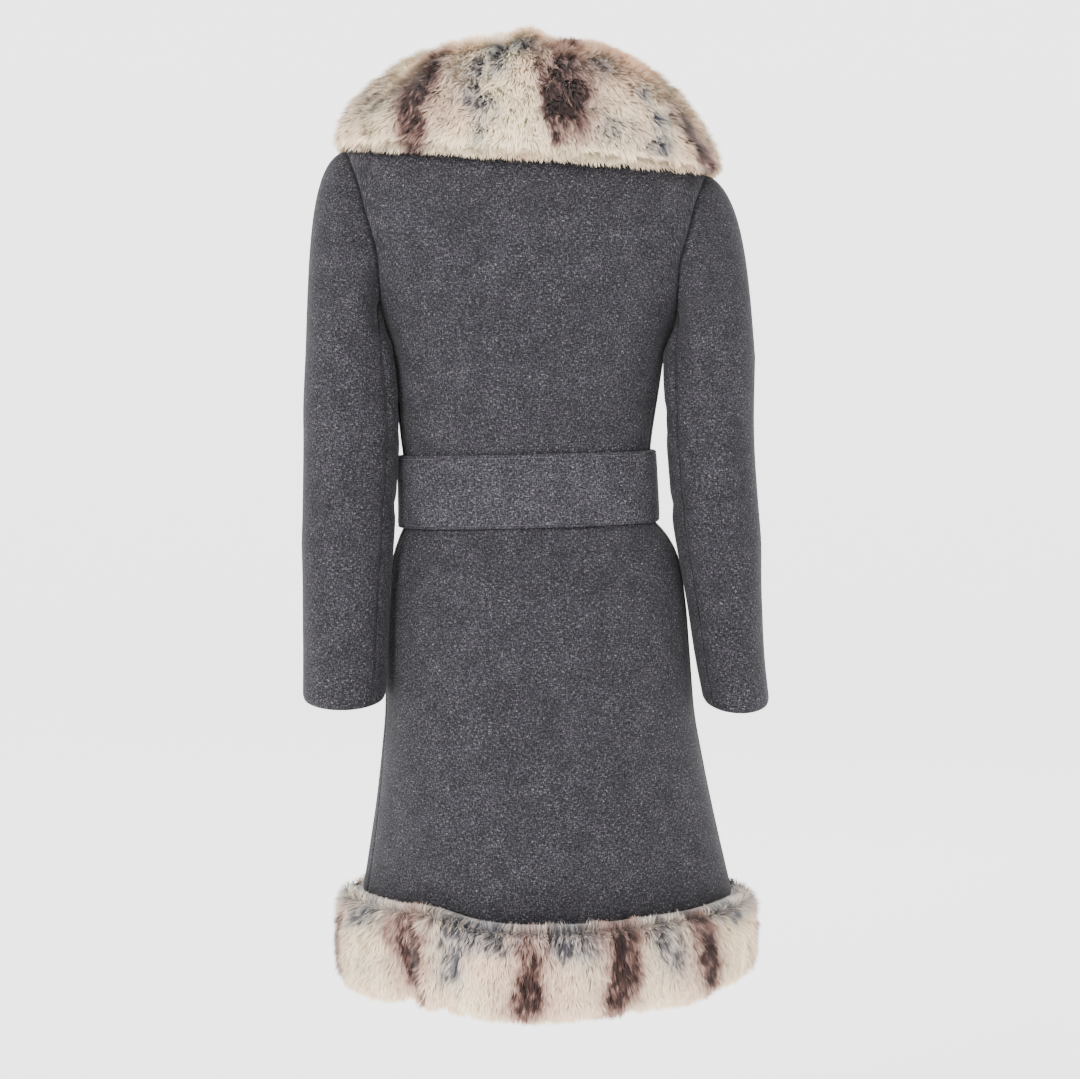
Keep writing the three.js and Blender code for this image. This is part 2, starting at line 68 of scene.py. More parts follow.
# The body by depth: half width, reach behind and before, squareness, middle and side seam's turn.
BODY = columns(
    "at half back front square centre seam",
    (0, 76, 72, 46, 2.0, 0, 90),
    (22, 116, 86, 58, 2.0, 0, 90),
    (65, 193, 99, 78, 2.05, 0, 90),
    (95, 199, 105, 92, 2.2, 0, 90),
    (125, 199, 108, 102, 2.3, 0, 90),
    (180, 181, 109, 114, 2.3, 0, 90),
    (235, 157, 106, 121, 2.3, -1, 90),
    (264, 147.5, 103, 121, 2.3, -2, 85),
    (314, 141, 97, 114, 2.3, -4, 79),
    (366, 134.5, 92, 104, 2.3, -6, 77),
    (380, 133, 90, 101, 2.3, -6, 77),
    (412, 132, 89, 100, 2.3, -5.5, 77),
    (446, 134, 91, 101.5, 2.3, -4, 77),
    (463, 144, 98, 107, 2.3, -1, 77),
    (487, 154, 107, 112, 2.3, 0.5, 78),
    (535, 161, 117, 117, 2.3, 0.5, 79),
    (588, 164.5, 124, 121, 2.25, 0, 80),
    (651, 167.5, 131, 126, 2.2, 0, 80),
    (702, 174, 136, 131, 2.15, 0, 80),
    (754, 182, 140, 136, 2.1, 0, 80),
    (806, 191.5, 144, 141, 2.0, 0, 80),
    (855, 201, 148, 147, 1.95, 0, 80),
)
# How far the coat leans to the wearer's right, and how much it tilts, by depth.
HANG = columns(
    "at lean tilt",
    (-80, 5, 0),
    (-30, 4.5, 0.004),
    (30, 4, 0.045),
    (65, 4.5, 0.066),
    (110, 5.5, 0.06),
    (366, 10.4, 0.004),
    (450, 13, 0),
    (640, 18.6, 0.006),
    (780, 25, 0.006),
    (857, 27.5, 0),
    (960, 28, 0),
)
# The folds of the skirt, which grow from FLUTE_TOP down to the hem.
FLUTE_TOP = 520
FLUTES = columns(
    "turn width out lift",
    (-62, 24, -6, 7),
    (-36, 13, 0, 9),
    (-8, 34, 6, 0),
    (34, 16, -3, 2),
    (66, 18, 4, 6),
    (104, 17, -4, 3),
    (142, 22, 5, -1),
    (-104, 20, 4, 2),
    (-146, 22, -4, 1),
)
# Creases of the body, the solids' own ones first and then the finer ones: a trough where "out" is
# negative, with its middle, reach and slope.
CREASES = columns(
    "turn down wide tall out slope",
    (8, 352, 34, 13, 2.6, 0),
    (-34, 356, 22, 9, 2.2, 0),
    (22, 335, 26, 7, -2.2, 0.25),
    (-70, 300, 9, 40, -2.5, 0),
    (66, 300, 9, 44, -3, 0),
    (150, 318, 30, 12, -2.5, 0.3),
    (-150, 322, 30, 12, -2.5, -0.3),
    (152, 350, 26, 9, 2.5, 0),
    (-148, 352, 26, 9, 2.5, 0),
    (24, 356, 9, 6, -2.4, 0.5),
    (-14, 361, 13, 4, -1.3, 0),
    (47, 352, 8, 9, 1.4, -0.8),
    (-50, 345, 10, 12, 1.2, 0.6),
    (55, 225, 5, 32, -1.6, 1.2),
    (-56, 232, 5, 30, -1.5, -1.2),
    (60, 262, 4, 24, 1.2, 1.4),
    (10, 470, 9, 14, -0.9, 0.3),
    (-26, 474, 7, 16, -0.8, -0.2),
    (40, 472, 6, 15, -1, 0.4),
    (160, 345, 12, 5, -1.6, 0.2),
    (-125, 300, 8, 10, -1.4, -0.8),
    (126, 292, 8, 11, -1.4, 0.9),
    (128, 205, 5, 30, -1.5, 1),
    (-128, 210, 5, 28, -1.5, -1),
)
# The sleeves by depth: middle sideways and forwards, half width and half depth.
LEFT_SLEEVE = columns(
    "at out fore half deep",
    (268, 193.6, -22, 45.2, 57),
    (345, 191.6, -29, 51.2, 55),
    (443, 196.5, -40, 49.4, 53),
    (482, 198.6, -46, 48.2, 51),
    (535, 201.6, -52, 46.2, 49),
    (588, 204.1, -54, 44.9, 48),
    (634, 207.5, -50, 43.9, 47),
)
RIGHT_SLEEVE = columns(
    "at out fore half deep",
    (268, 192.4, -22, 47.9, 57),
    (345, 191.3, -18, 47.1, 55),
    (443, 194.8, -20, 46.7, 54),
    (482, 197.3, -26, 44.5, 53),
    (535, 201.3, -30, 40.3, 51),
    (588, 205.6, -26, 37.6, 50),
    (638, 212, -20, 35.6, 50),
)
# The sleeves' creases, the solids' own ones first and then the finer ones.
SLEEVE_CREASES = columns(
    "angle down wide tall out slope",
    (60, 190, 26, 60, -2, 0),
    (150, 330, 40, 9, -2.4, 0),
    (120, 385, 46, 10, -2, 0),
    (170, 430, 40, 9, -2.6, 0),
    (-150, 350, 40, 9, -2.4, 0),
    (-120, 405, 44, 10, -2.6, 0),
    (40, 470, 40, 22, 1.6, 0),
    (-60, 520, 40, 16, -1.8, 0),
    (100, 262, 22, 8, -1.2, 0.5),
    (135, 296, 24, 6, -1.3, 0.4),
    (96, 414, 26, 6, -1.1, -0.3),
    (128, 352, 20, 6, 0.9, 0.3),
    (84, 520, 30, 9, -0.9, 0.4),
    (70, 575, 26, 8, 0.7, -0.3),
    (-90, 300, 26, 8, -1.3, -0.5),
    (-100, 455, 26, 7, -1.2, 0.4),
    (160, 283, 14, 62, 6, 0),
)
BELT = dict(
    top=375, bottom=451.5, thick=4.4, centre=-5.5, half=135.5, back=92.5, front=107,
    flare=1.6, tilt=-0.026, step=5.2, start=165, sweep=392,
)
# The collar by turn: height of its fold, depth of its lower seam, how far its fur stands out
# there, how full it is and how far the fold leans out.
COLLAR = columns(
    "at fold edge fall full lean",
    (0, 58, 73, 34, 2.1, 10),
    (35, 56, 72, 31, 1.75, 9),
    (60, 55, 70, 25, 1.3, 5),
    (90, 62, 64, 17, 1.24, 3),
    (120, 54, 73, 25, 1.3, 6),
    (150, 32, 104, 30, 1.8, 11),
    (178, 8, 132, 32, 2.0, 14),
)
COLLAR_SPLIT, COLLAR_END = 7, 177.6
COLLAR_LUMPS = columns(
    "turn width out up",
    (0, 8, 2, 10),
    (28, 12, -2, -2),
    (52, 12, 2, 3),
    (-30, 13, 3, 1),
    (-56, 9, -3, -3),
    (-88, 20, -7, 1),
    (82, 10, -1, -3),
    (112, 14, 3, 2),
    (-118, 14, 3, 1),
    (146, 12, -2, -2),
    (-148, 12, -2, -3),
)
# Where the collar's fur stands out a little more than the solids.
FULLER = columns("turn width full", (-75, 26, 0.5), (75, 24, 0.25))
# The hem band's section: millimetres out from the cloth's lower edge, and up.
BAND = columns(
    "out up",
    (-14, -38), (-12, -12), (-9, -0.8), (8, -0.8), (13, 5), (22, 4), (30, -7),
    (34, -28), (34, -60), (30, -82), (20, -93), (6, -97), (-7, -92), (-13, -74),
)
PARTINGS = columns(
    "turn width in up",
    (-92, 6, 3, 2),
    (-43, 4.5, 12, 14),
    (-28, 5, 6, 6),
    (-4, 8, 2, -1),
    (25, 7, 3, 2),
    (58, 6, 3, 4),
    (90, 6, 3, 2),
    (122, 6, 7, 6),
    (154, 6, 3, 2),
    (-120, 6, 7, 6),
    (-152, 6, 3, 2),
)
# Narrow clefts where the band's fur parts, finer than the solids' partings.
CLEFTS = columns("turn width in", (-39.5, 2.8, 11), (-27.5, 2.2, 8), (49, 2.5, 3))
SWELLS = columns(
    "turn width out down",
    (-8, 26, 2, 4),
    (-68, 18, 9, 3),
    (76, 22, -2, -12),
    (130, 30, 1, -2),
    (-130, 30, 1, -2),
)


def smooth(table, column, at):
    """A table's column at any places, on a smooth curve that never swings past its rows."""
    x, y = table["at"], table[column]
    at = np.clip(at, x[0], x[-1])
    slopes = np.diff(y) / np.diff(x)
    before, after = slopes[:-1], slopes[1:]
    rising = before * after > 0
    middle = np.where(rising, 2 * before * after / np.where(rising, before + after, 1), 0)
    tangents = np.concatenate([slopes[:1], middle, slopes[-1:]])
    i = np.clip(np.searchsorted(x, at, side="right") - 1, 0, len(x) - 2)
    step = x[i + 1] - x[i]
    t = (at - x[i]) / step
    return (
        (2 * t**3 - 3 * t**2 + 1) * y[i]
        + (t**3 - 2 * t**2 + t) * step * tangents[i]
        + (3 * t**2 - 2 * t**3) * y[i + 1]
        + (t**3 - t**2) * step * tangents[i + 1]
    )


def ease(x, low, high):
    t = np.clip((np.asarray(x, float) - low) / (high - low), 0, 1)
    return t * t * (3 - 2 * t)


def bump(x, width):
    return np.exp(-((x / width) ** 2))


def apart(a, b):
    """Degrees from b to a, the short way round."""
    return (a - b + 180) % 360 - 180


def power(x, e):
    return np.sign(x) * np.abs(x) ** e


def unit(v):
    return v / np.maximum(np.linalg.norm(v, axis=-1, keepdims=True), 1e-12)


def points(x, y, z):
    return np.stack(np.broadcast_arrays(x, y, z), -1).astype(float)


def sum_of(table, turn, column):
    """A column's soft bumps round the body, all together."""
    rows = zip(table["turn"], table["width"], table[column])
    return sum(size * bump(apart(turn, middle), width) for middle, width, size in rows)


def creases(table, angle, down, key):
    """How far the creases of a table move the cloth out."""
    rows = zip(*(table[name] for name in (key, "down", "wide", "tall", "out", "slope")))
    total = np.zeros(np.broadcast(angle, down).shape)
    for middle, depth, wide, tall, out, slope in rows:
        side = apart(angle, middle)
        total = total + out * bump(side, wide) * bump(down - depth - slope * side, tall)
    return total


def hang(p):
    """Leans and tilts points as the coat hangs."""
    x, y, z = np.moveaxis(p, -1, 0)
    return points(x + smooth(HANG, "lean", -z), y, z - smooth(HANG, "tilt", -z) * x)


def oval(turn, half, back, front, square):
    """Points round an oval, from a plain one at 2 to squarer ones above it."""
    s, c = np.sin(np.radians(turn)), np.cos(np.radians(turn))
    return half * power(s, 2 / square), -np.where(c > 0, back, front) * power(c, 2 / square)


def body_plain(turn, down):
    half, back, front, square, centre = (
        smooth(BODY, name, down) for name in "half back front square centre".split()
    )
    x, y = oval(turn, half, back, front, square)
    share = ease(down, FLUTE_TOP, HEM)
    p = points(x, y, share * sum_of(FLUTES, turn, "lift") - down)
    out = unit(points(x / half**2, y / np.where(y < 0, back, front) ** 2, 0))
    relief = share**2 * sum_of(FLUTES, turn, "out") + creases(CREASES, turn, down, "turn")
    p = p + out * relief[..., None]
    p[..., 0] += centre
    return p


def body(turn, down, off=0.0):
    """Points of the body's outer face, moved out by "off"."""
    step = 0.6
    across = body_plain(turn + step, down) - body_plain(turn - step, down)
    along = body_plain(turn, np.maximum(down - step, 0)) - body_plain(turn, down + step)
    off = np.broadcast_to(off, np.broadcast(turn, down).shape)
    return body_plain(turn, down) + unit(np.cross(across, along)) * off[..., None]


def neckline(turn):
    c = np.cos(np.radians(turn))
    dip = NECK_DIP["front"] * np.abs(c) ** 4.6
    return np.where(c > 0, NECK_DIP["back"] * c * c, dip)


def linked(name, data):
    """A new object in the scene."""
    made = bpy.data.objects.new(name, data)
    bpy.context.collection.objects.link(made)
    return made


def new_mesh(name, verts, faces, edges=()):
    mesh = bpy.data.meshes.new(name)
    mesh.from_pydata(verts.tolist(), edges, faces.tolist())
    mesh.polygons.foreach_set("use_smooth", [True] * len(mesh.polygons))
    return linked(name, mesh)


def store(made, name, values, kind="FLOAT"):
    """Keeps a number or a vector for each vertex of a piece."""
    layer = made.data.attributes.new(name, kind, "POINT")
    layer.data.foreach_set("vector" if kind == "FLOAT_VECTOR" else "value", np.ravel(values))


def store_flat(made, flat):
    """Keeps each vertex's place on the flat cloth as the piece's UV map."""
    corners = np.empty(len(made.data.loops), int)
    made.data.loops.foreach_get("vertex_index", corners)
    layer = made.data.uv_layers.new(name="cloth")
    layer.data.foreach_set("uv", flat[corners].ravel())


def strip(index):
    """Quads between the rows and columns of a grid of vertex numbers."""
    low, high = index[:-1], index[1:]
    return np.stack([low[:, :-1], low[:, 1:], high[:, 1:], high[:, :-1]], -1).reshape(-1, 4)


def ring_faces(index):
    """Quads between rows of vertex numbers that each close on themselves."""
    return strip(np.concatenate([index, index[:, :1]], 1))


def wall(name, outer, inner, edge, material):
    """A closed cloth wall between two grids of points, with the distance to its nearest sewn edge."""
    rows, wide = outer.shape[:2]
    verts = hang(np.concatenate([outer.reshape(-1, 3), inner.reshape(-1, 3)])) * MM
    index = np.arange(rows * wide).reshape(rows, wide)
    faces = strip(index)
    back = faces[:, ::-1] + rows * wide
    loop = np.concatenate([index[0, :-1], index[:-1, -1], index[-1, :0:-1], index[:0:-1, 0]])
    after = np.roll(loop, -1)
    rim = np.stack([after, loop, loop + rows * wide, after + rows * wide], -1)
    faces = np.concatenate([faces, back, rim])
    made = new_mesh(name, verts, facing_out(verts, faces))
    across = np.cumsum(lengths(outer, 1), 1)
    along = np.cumsum(lengths(outer, 0), 0)
    flat = np.stack([across - across[:, wide // 2 : wide // 2 + 1], along], -1).reshape(-1, 2) * MM
    store_flat(made, np.tile(flat, (2, 1)))
    store(made, "seam", np.tile(np.broadcast_to(edge, (rows, wide)).ravel(), 2))
    made.data.materials.append(material)
    return made


def lengths(grid, axis):
    """The length of each step along an axis of a grid of points, with 0 for the first one."""
    steps = np.linalg.norm(np.diff(grid, axis=axis), axis=-1)
    return np.concatenate([np.zeros_like(steps.take([0], axis)), steps], axis)


def enclosed(verts, faces):
    """Six times the volume in a closed mesh, below 0 where its faces point inwards."""
    a, b, c, d = (verts[faces[:, k]] for k in range(4))
    return np.sum(a * np.cross(b, c)) + np.sum(a * np.cross(c, d))


def facing_out(verts, faces):
    return faces[:, ::-1] if enclosed(verts, faces) < 0 else faces


# Cloth panels of the body

HEM_ROLL, ROLL_WIDTH = 1.1, 1.8  # how far an edge rounds in, and over what width
SEAM_DIP, DIP_WIDTH = 0.35, 5  # how far the cloth draws in along a seam, and over what width


def rounding(near, seam):
    """How far the outer face rounds in at these distances from an edge and from a seam."""
    return HEM_ROLL * bump(near, ROLL_WIDTH) + SEAM_DIP * bump(seam, DIP_WIDTH)


def inside(low, high, steps):
    """Even steps from "low" to "high", without "low" itself."""
    return np.linspace(low, high, steps + 1)[1:]


EDGE_STEPS = np.array([0, 0.012, 0.03, 0.06, 0.11])  # the narrow columns beside an edge
SIDE_STEPS = np.concatenate([EDGE_STEPS, inside(EDGE_STEPS[-1], 1, 11)])


def armhole_rows(steps):
    """Depths in the armhole, from the underarm up to the shoulder tip."""
    swing = np.cos(np.pi * np.arange(steps + 1) / steps)
    return ARM_MIDDLE + ARM_REACH * swing


def panel_rows():
    """Depths from the hem up, closer at the hem, the waist and the armhole."""
    skirt = np.concatenate([[HEM, HEM - 1.2, HEM - 3, HEM - 6], np.linspace(HEM - 12, 470, 48)])
    waist = np.concatenate([np.linspace(464, 378, 14), np.linspace(373, 330, 11)])
    chest = np.linspace(323, 242, 12)
    return np.concatenate([skirt, waist, chest, armhole_rows(ARM_STEPS // 2), np.linspace(58, 0, 9)])


def armhole_turn(down, side):
    """The turn of the armhole's edge behind or before the side line."""
    y = ARMHOLE[side] * np.sqrt(np.maximum(0, 1 - ((down - ARM_MIDDLE) / ARM_REACH) ** 2))
    share = (y / smooth(BODY, side, down)) ** (smooth(BODY, "square", down) / 2)
    return np.degrees(np.arccos(share))


def side_edge(down, side):
    """The turn of a panel's side edge: its side seam, armhole or shoulder seam."""
    inset = np.degrees(SEAM / 2 / smooth(BODY, side, down))
    seam = smooth(BODY, "seam", down)
    below = (seam if side == "back" else 180 - seam) - inset
    beside = np.minimum(armhole_turn(down, side), 90 - inset)
    return np.where(down > UNDERARM + 0.01, below, np.where(down < TIP + 0.01, 90 - inset, beside))


def past(reach, down):
    """Degrees round the body for a reach in millimetres past the centre."""
    return np.degrees(reach / smooth(BODY, "half", np.maximum(down, TIP)))


def spread(stops, shares):
    """For each row, its columns' turns: share 1.5 lies halfway between stops 1 and 2."""
    whole = np.minimum(shares.astype(int), len(stops) - 2)
    stops = np.stack(stops, -1)
    return stops[:, whole] + (stops[:, whole + 1] - stops[:, whole]) * (shares - whole)


def panel(name, centre, stops, shares, sewn, material, raised=None):
    """One cloth panel between columns of turns. "sewn" says which of its two sides are seams, and
    "raised" how far the panel stands off the body."""
    rows = panel_rows()
    turn = spread(stops(rows), shares)
    reach = np.abs(turn - centre).max(1, keepdims=True)
    share = np.maximum(1 - rows / UNDERARM, 0)[:, None] ** 1.6
    down = rows[:, None] + share * neckline(centre + 90 * (turn - centre) / reach)
    half = smooth(BODY, "half", rows)[:, None]
    left = np.radians(np.abs(turn - turn[:, :1])) * half
    right = np.radians(np.abs(turn - turn[:, -1:])) * half
    sides = [edge for edge, is_sewn in zip((left, right), sewn) if is_sewn]
    seam = np.minimum.reduce(sides)
    near = np.minimum(np.minimum(left, right), HEM - rows[:, None])
    off = raised(turn, down) if raised else 0.0
    outer = body(turn, down, off - rounding(near, seam))
    inner = body(turn, down, off - CLOTH + 0.5 * HEM_ROLL * bump(near, ROLL_WIDTH))
    return wall(name, outer, inner, seam, material)


def back_panel(material):
    def stops(rows):
        edge = side_edge(rows, "back")
        return [-edge, np.full_like(edge, -MIDDLE), np.full_like(edge, MIDDLE), edge]

    shares = np.concatenate([SIDE_STEPS, inside(1, 2, 34), 3 - SIDE_STEPS[-2::-1]])
    return panel("back_cloth", 0, stops, shares, (True, True), material)


def right_front(material):
    def stops(rows):
        under = 180 - past(UNDER, rows)
        free = 180 + past(OVER, rows)
        edge = 180 - side_edge(rows, "front")
        return [edge, np.full_like(edge, 180 - MIDDLE), under - 8, under - 2, free]

    def raised(turn, down):
        under = 180 - past(UNDER, down)
        return LIFT * np.clip((turn - under + 8) / 6, 0, 1)

    lap = np.concatenate([inside(2, 3, 4), inside(3, 3.89, 9)[:-1], 4 - EDGE_STEPS[::-1]])
    shares = np.concatenate([SIDE_STEPS, inside(1, 2, 9), lap])
    return panel("front_right_cloth", 180, stops, shares, (True, False), material, raised)


def left_front(material):
    def stops(rows):
        free = -180 - past(UNDER, rows)
        edge = side_edge(rows, "front") - 180
        return [free, np.full_like(edge, MIDDLE - 180), edge]

    free = np.concatenate([EDGE_STEPS[:-1], np.linspace(EDGE_STEPS[-1], 1, 20)])
    shares = np.concatenate([free, 2 - SIDE_STEPS[-2::-1]])
    return panel("front_left_cloth", -180, stops, shares, (False, True), material)


# Sleeves

SEAM_RADIUS, MEAN_RADIUS = 44, 46  # of a sleeve, at its seams and all round
CUFF_STEPS = np.array([2, 1.997, 1.992, 1.985])
ALLOWANCE_STEPS = (0.04, 0.02, 0.008, 0, -0.04, -0.1)


def tube(table, angle, down, drift):
    """Points of a sleeve's hanging part."""
    out, fore, half, deep = (smooth(table, name, down) for name in "out fore half deep".split())
    s = np.sin(np.radians(angle))
    turned = np.radians(angle - drift * power(s, 2))
    y = fore - deep * np.sin(turned)
    slant = CUFF_SLANT * (y - fore) * ease(down, 480, 640)
    return points(out + half * np.cos(turned), y, slant - down)


def sleeve_points(side, table, angle, run):
    """Points of a sleeve. "run" goes from the armhole at 0 to the cuff at 2, and the seam allowance
    inside the armhole is below 0."""
    s, c = np.sin(np.radians(angle)), np.cos(np.radians(angle))
    upper = (1 + c) / 2
    top, cuff = table["at"][0], table["at"][-1]
    low = np.clip(run - 1, 0, 1)
    hanging = tube(table, angle, top + (cuff - top) * low, SEAM_DRIFT * low)
    down = ARM_MIDDLE - ARM_REACH * c
    y = np.where(s > 0, -ARMHOLE["back"] * s, -ARMHOLE["front"] * s)
    reach = np.where(s > 0, smooth(BODY, "back", down), smooth(BODY, "front", down))
    square, half = smooth(BODY, "square", down), smooth(BODY, "half", down)
    x = half * (1 - (np.abs(y) / reach) ** square) ** (1 / square)
    start = points(x + side * smooth(BODY, "centre", down), y, -down)
    way = points(3 + 35 * upper, -8 * s, -8 - 6 * upper)
    end = tube(table, angle, top, 0)
    before = end + points(-6 * upper, 0, 8 + 97 * upper)
    # The sleeve's cap bends from the armhole to the hanging tube.
    t = np.clip(run, 0, 1)[..., None]
    bent = (
        (1 - t) ** 3 * start
        + 3 * (1 - t) ** 2 * t * (start + way)
        + 3 * (1 - t) * t**2 * before
        + t**3 * end
    )
    inwards = -unit(points(x / half**2, y / reach**2, 0))
    bent = bent + inwards * (ALLOWANCE * np.clip(run / ALLOWANCE_STEPS[-1], 0, 1))[..., None]
    p = np.where((run >= 1)[..., None], hanging, bent)
    down = np.where(run >= 1, top + (cuff - top) * low, -p[..., 2])
    middle = points(smooth(table, "out", down), smooth(table, "fore", down), 0)
    level = unit((p - middle) * (1, 1, 0))
    off = creases(SLEEVE_CREASES, angle, down, "angle") * ease(down, 120, 200)
    return p + level * off[..., None]


def sleeve_rows():
    """Places along a sleeve from the cuff up, closer at both ends."""
    hanging, cap = np.linspace(1.97, 1, 52), inside(1, 0.06, 26)
    return np.concatenate([CUFF_STEPS, hanging, cap, ALLOWANCE_STEPS])


def sleeve_piece(name, side, table, first, last, material):
    step = 360 / ARM_STEPS
    inset = math.degrees(SEAM / 2 / SEAM_RADIUS)
    narrow = np.array([0, 1.2, 3])
    between = np.arange(first + step, last - step + 0.1, step)
    angles = np.concatenate([first + inset + narrow, between, last - inset - narrow[::-1]])
    angle, run = np.meshgrid(angles, sleeve_rows())
    p = sleeve_points(side, table, angle, run)
    across = sleeve_points(side, table, angle + 1, run) - sleeve_points(side, table, angle - 1, run)
    at = np.maximum(run, 0)
    high = np.maximum(at - 0.02, np.where(run < 1, 0, 1))
    along = sleeve_points(side, table, angle, high)
    along = along - sleeve_points(side, table, angle, np.minimum(at + 0.02, 2))
    normal = unit(np.cross(along, across))
    seam = np.minimum(angle - angles[0], angles[-1] - angle) * math.radians(MEAN_RADIUS)
    seam = np.minimum(seam, np.abs(run) * 60)
    cuff = (2 - run) * (table["at"][-1] - table["at"][0])
    roll = rounding(np.minimum(seam, cuff), seam)
    mirror = np.array([side, 1, 1])
    outer = (p - normal * roll[..., None]) * mirror
    inner = (p - normal * (CLOTH - 0.4 * HEM_ROLL * bump(cuff, ROLL_WIDTH))[..., None]) * mirror
    return wall(name, outer, inner, seam, material)


# The belt


def belt_points(gone, level, off):
    """Points of the belt: "gone" is the turn from its end under the lap, "level" its depth."""
    share = (level - BELT["top"]) / (BELT["bottom"] - BELT["top"])
    grow = BELT["flare"] * share + off + BELT["step"] * ease(gone, 300, 350)
    sizes = (BELT[name] + grow for name in ("half", "back", "front"))
    x, y = oval(BELT["start"] + gone, *sizes, 2.3)
    return points(x + BELT["centre"], y, -level - BELT["tilt"] * x)


STITCH_IN, STITCH_SUNK = 3.4, 0.55  # how far in from the belt's edge its stitches lie, and how deep
BELT_ROLL, GROOVE = 1.7, 0.7  # how far the belt's edges round in, and how far the stitches pull in
BELT_RADIUS = 120  # the belt's mean reach, for lengths along it


def belt(material):
    rim = np.array([0, 0.5, 1.2, 2.2, 2.9, 3.4, 3.9, 4.8, 6.5])
    tall = BELT["bottom"] - BELT["top"]
    deep = np.concatenate([rim, np.linspace(11, tall - 11, 9), tall - rim[::-1]])
    gone, depth = np.meshgrid(np.linspace(0, BELT["sweep"], 190), deep[::-1])
    edge = np.minimum(depth, tall - depth)
    end = np.minimum(gone, BELT["sweep"] - gone) * math.radians(BELT_RADIUS)
    level = BELT["top"] + depth
    roll = BELT_ROLL * bump(np.minimum(edge, end), 1.0) + GROOVE * bump(edge - STITCH_IN, 0.9)
    sag = 0.5 * np.sin(np.radians(gone * 7 + 40)) * bump(edge, 12)
    outer = belt_points(gone, level, BELT["thick"] - roll + sag)
    inner = belt_points(gone, level, 0.45 * bump(edge, 1.0))
    # The belt's "seam" is the distance from its stitch lines, along which the wool gets painted shade
    # in their grooves.
    seam = np.maximum(np.abs(edge - STITCH_IN), 0.6) * 2
    return wall("belt_cloth", outer, inner, seam, material)


def belt_stitch_paths():
    """The two lines of stitches along the belt, as an edge mesh."""
    gone = np.linspace(0.8, BELT["sweep"] - 1.5, 420)
    verts, edges = [], []
    for level in (BELT["top"] + STITCH_IN, BELT["bottom"] - STITCH_IN):
        first = len(verts)
        line = hang(belt_points(gone, np.full_like(gone, level), BELT["thick"] - STITCH_SUNK)) * MM
        verts += line.tolist()
        edges += [(first + i, first + i + 1) for i in range(len(line) - 1)]
    return new_mesh("belt_stitch_paths", np.array(verts), np.empty((0, 3), int), edges)


# Fur forms: the outer face of each fur piece as a grid of points, and what grows on it

SEAT_ROWS, CROWN_ROWS = 12, 34  # rows of the collar's grid on the cloth and over its outside
# The collar's inner face: millimetres out from the neckline and shares of the fold's height.
STAND = ((-8, 0.95), (-13, 0.88), (-16, 0.78), (-17.5, 0.6), (-18, 0.4), (-17, 0.22), (-14, 0.08))
# Its underside: shares of the fall and millimetres up. The lower rim rises more.
UNDERSIDE = ((0.3, 0), (0.75, 3), (0.93, 5.5))
RIM_RISE = 10
RIM_BEARS = (0.2, 0.55, 0.85, 1)  # how much fur the collar bears from its lower seam to the rim
INNER_BEARS = 0.45  # and on its inner face
DRAWN_IN = dict(fall=14, fold=12, edge=9)  # how far the collar's open end draws in


def collar_grid(side, sections=150):
    """Rings of points round each section of half the collar, and how much fur each point bears."""
    turn = np.linspace(side * COLLAR_SPLIT + 0.1, COLLAR_END, sections)
    fold, edge, fall, full, lean = (
        smooth(COLLAR, name, np.abs(turn)) for name in "fold edge fall full lean".split()
    )
    full = full + sum_of(FULLER, side * turn, "full")
    end = ease(turn, 166, 179) ** 2
    fall = fall + sum_of(COLLAR_LUMPS, side * turn, "out") - DRAWN_IN["fall"] * end
    fold = fold + sum_of(COLLAR_LUMPS, side * turn, "up") - DRAWN_IN["fold"] * end
    start, edge = neckline(turn), edge - DRAWN_IN["edge"] * end
    off = COLLAR_OFF + LIFT * ease(turn, 146, 162)
    shares = np.linspace(0, 1, SEAT_ROWS)[None, :]
    lift = off[:, None] + (SEAT - COLLAR_OFF) * bump(shares, 0.08)
    seat = body(turn[:, None], start[:, None] + (edge - start)[:, None] * shares, lift)
    neck, rim = seat[:, 0], seat[:, -1]
    out = unit(neck * (1, 1, 0))
    x, y = oval(turn, 1, 0.62, 0.62, 2)
    away = unit(points(x, y, 0))
    top = neck + out * lean[:, None]
    top[:, 2] = fold
    lower = rim + away * fall[:, None]
    lower[:, 2] = rim[:, 2] + RIM_RISE

    def beside(at, way, reach, height):
        p = at + way * np.asarray(reach)[..., None]
        p[..., 2] = height
        return p[:, None]

    t = np.linspace(math.pi / 2, 0, CROWN_ROWS)[None, :, None]
    bulge = (2 / full)[:, None, None]
    crown = top[:, None] + (lower - top)[:, None] * np.sin(t) ** bulge
    crown[..., 2] = lower[:, 2:] + (top - lower)[:, 2:] * (np.cos(t) ** bulge)[..., 0]
    height = top[:, 2] - neck[:, 2]
    inner = [beside(neck, out, np.full_like(turn, r), neck[:, 2] + height * h) for r, h in STAND]
    under = [beside(rim, away, fall * share, rim[:, 2] + up) for share, up in UNDERSIDE]
    grid = np.concatenate([seat, *under, crown, *inner], 1) * (side, 1, 1)
    inner_bears = np.full(len(STAND), INNER_BEARS)
    bears = np.concatenate([np.zeros(SEAT_ROWS - 1), RIM_BEARS, np.ones(CROWN_ROWS), inner_bears])
    return grid, np.tile(bears, (sections, 1))


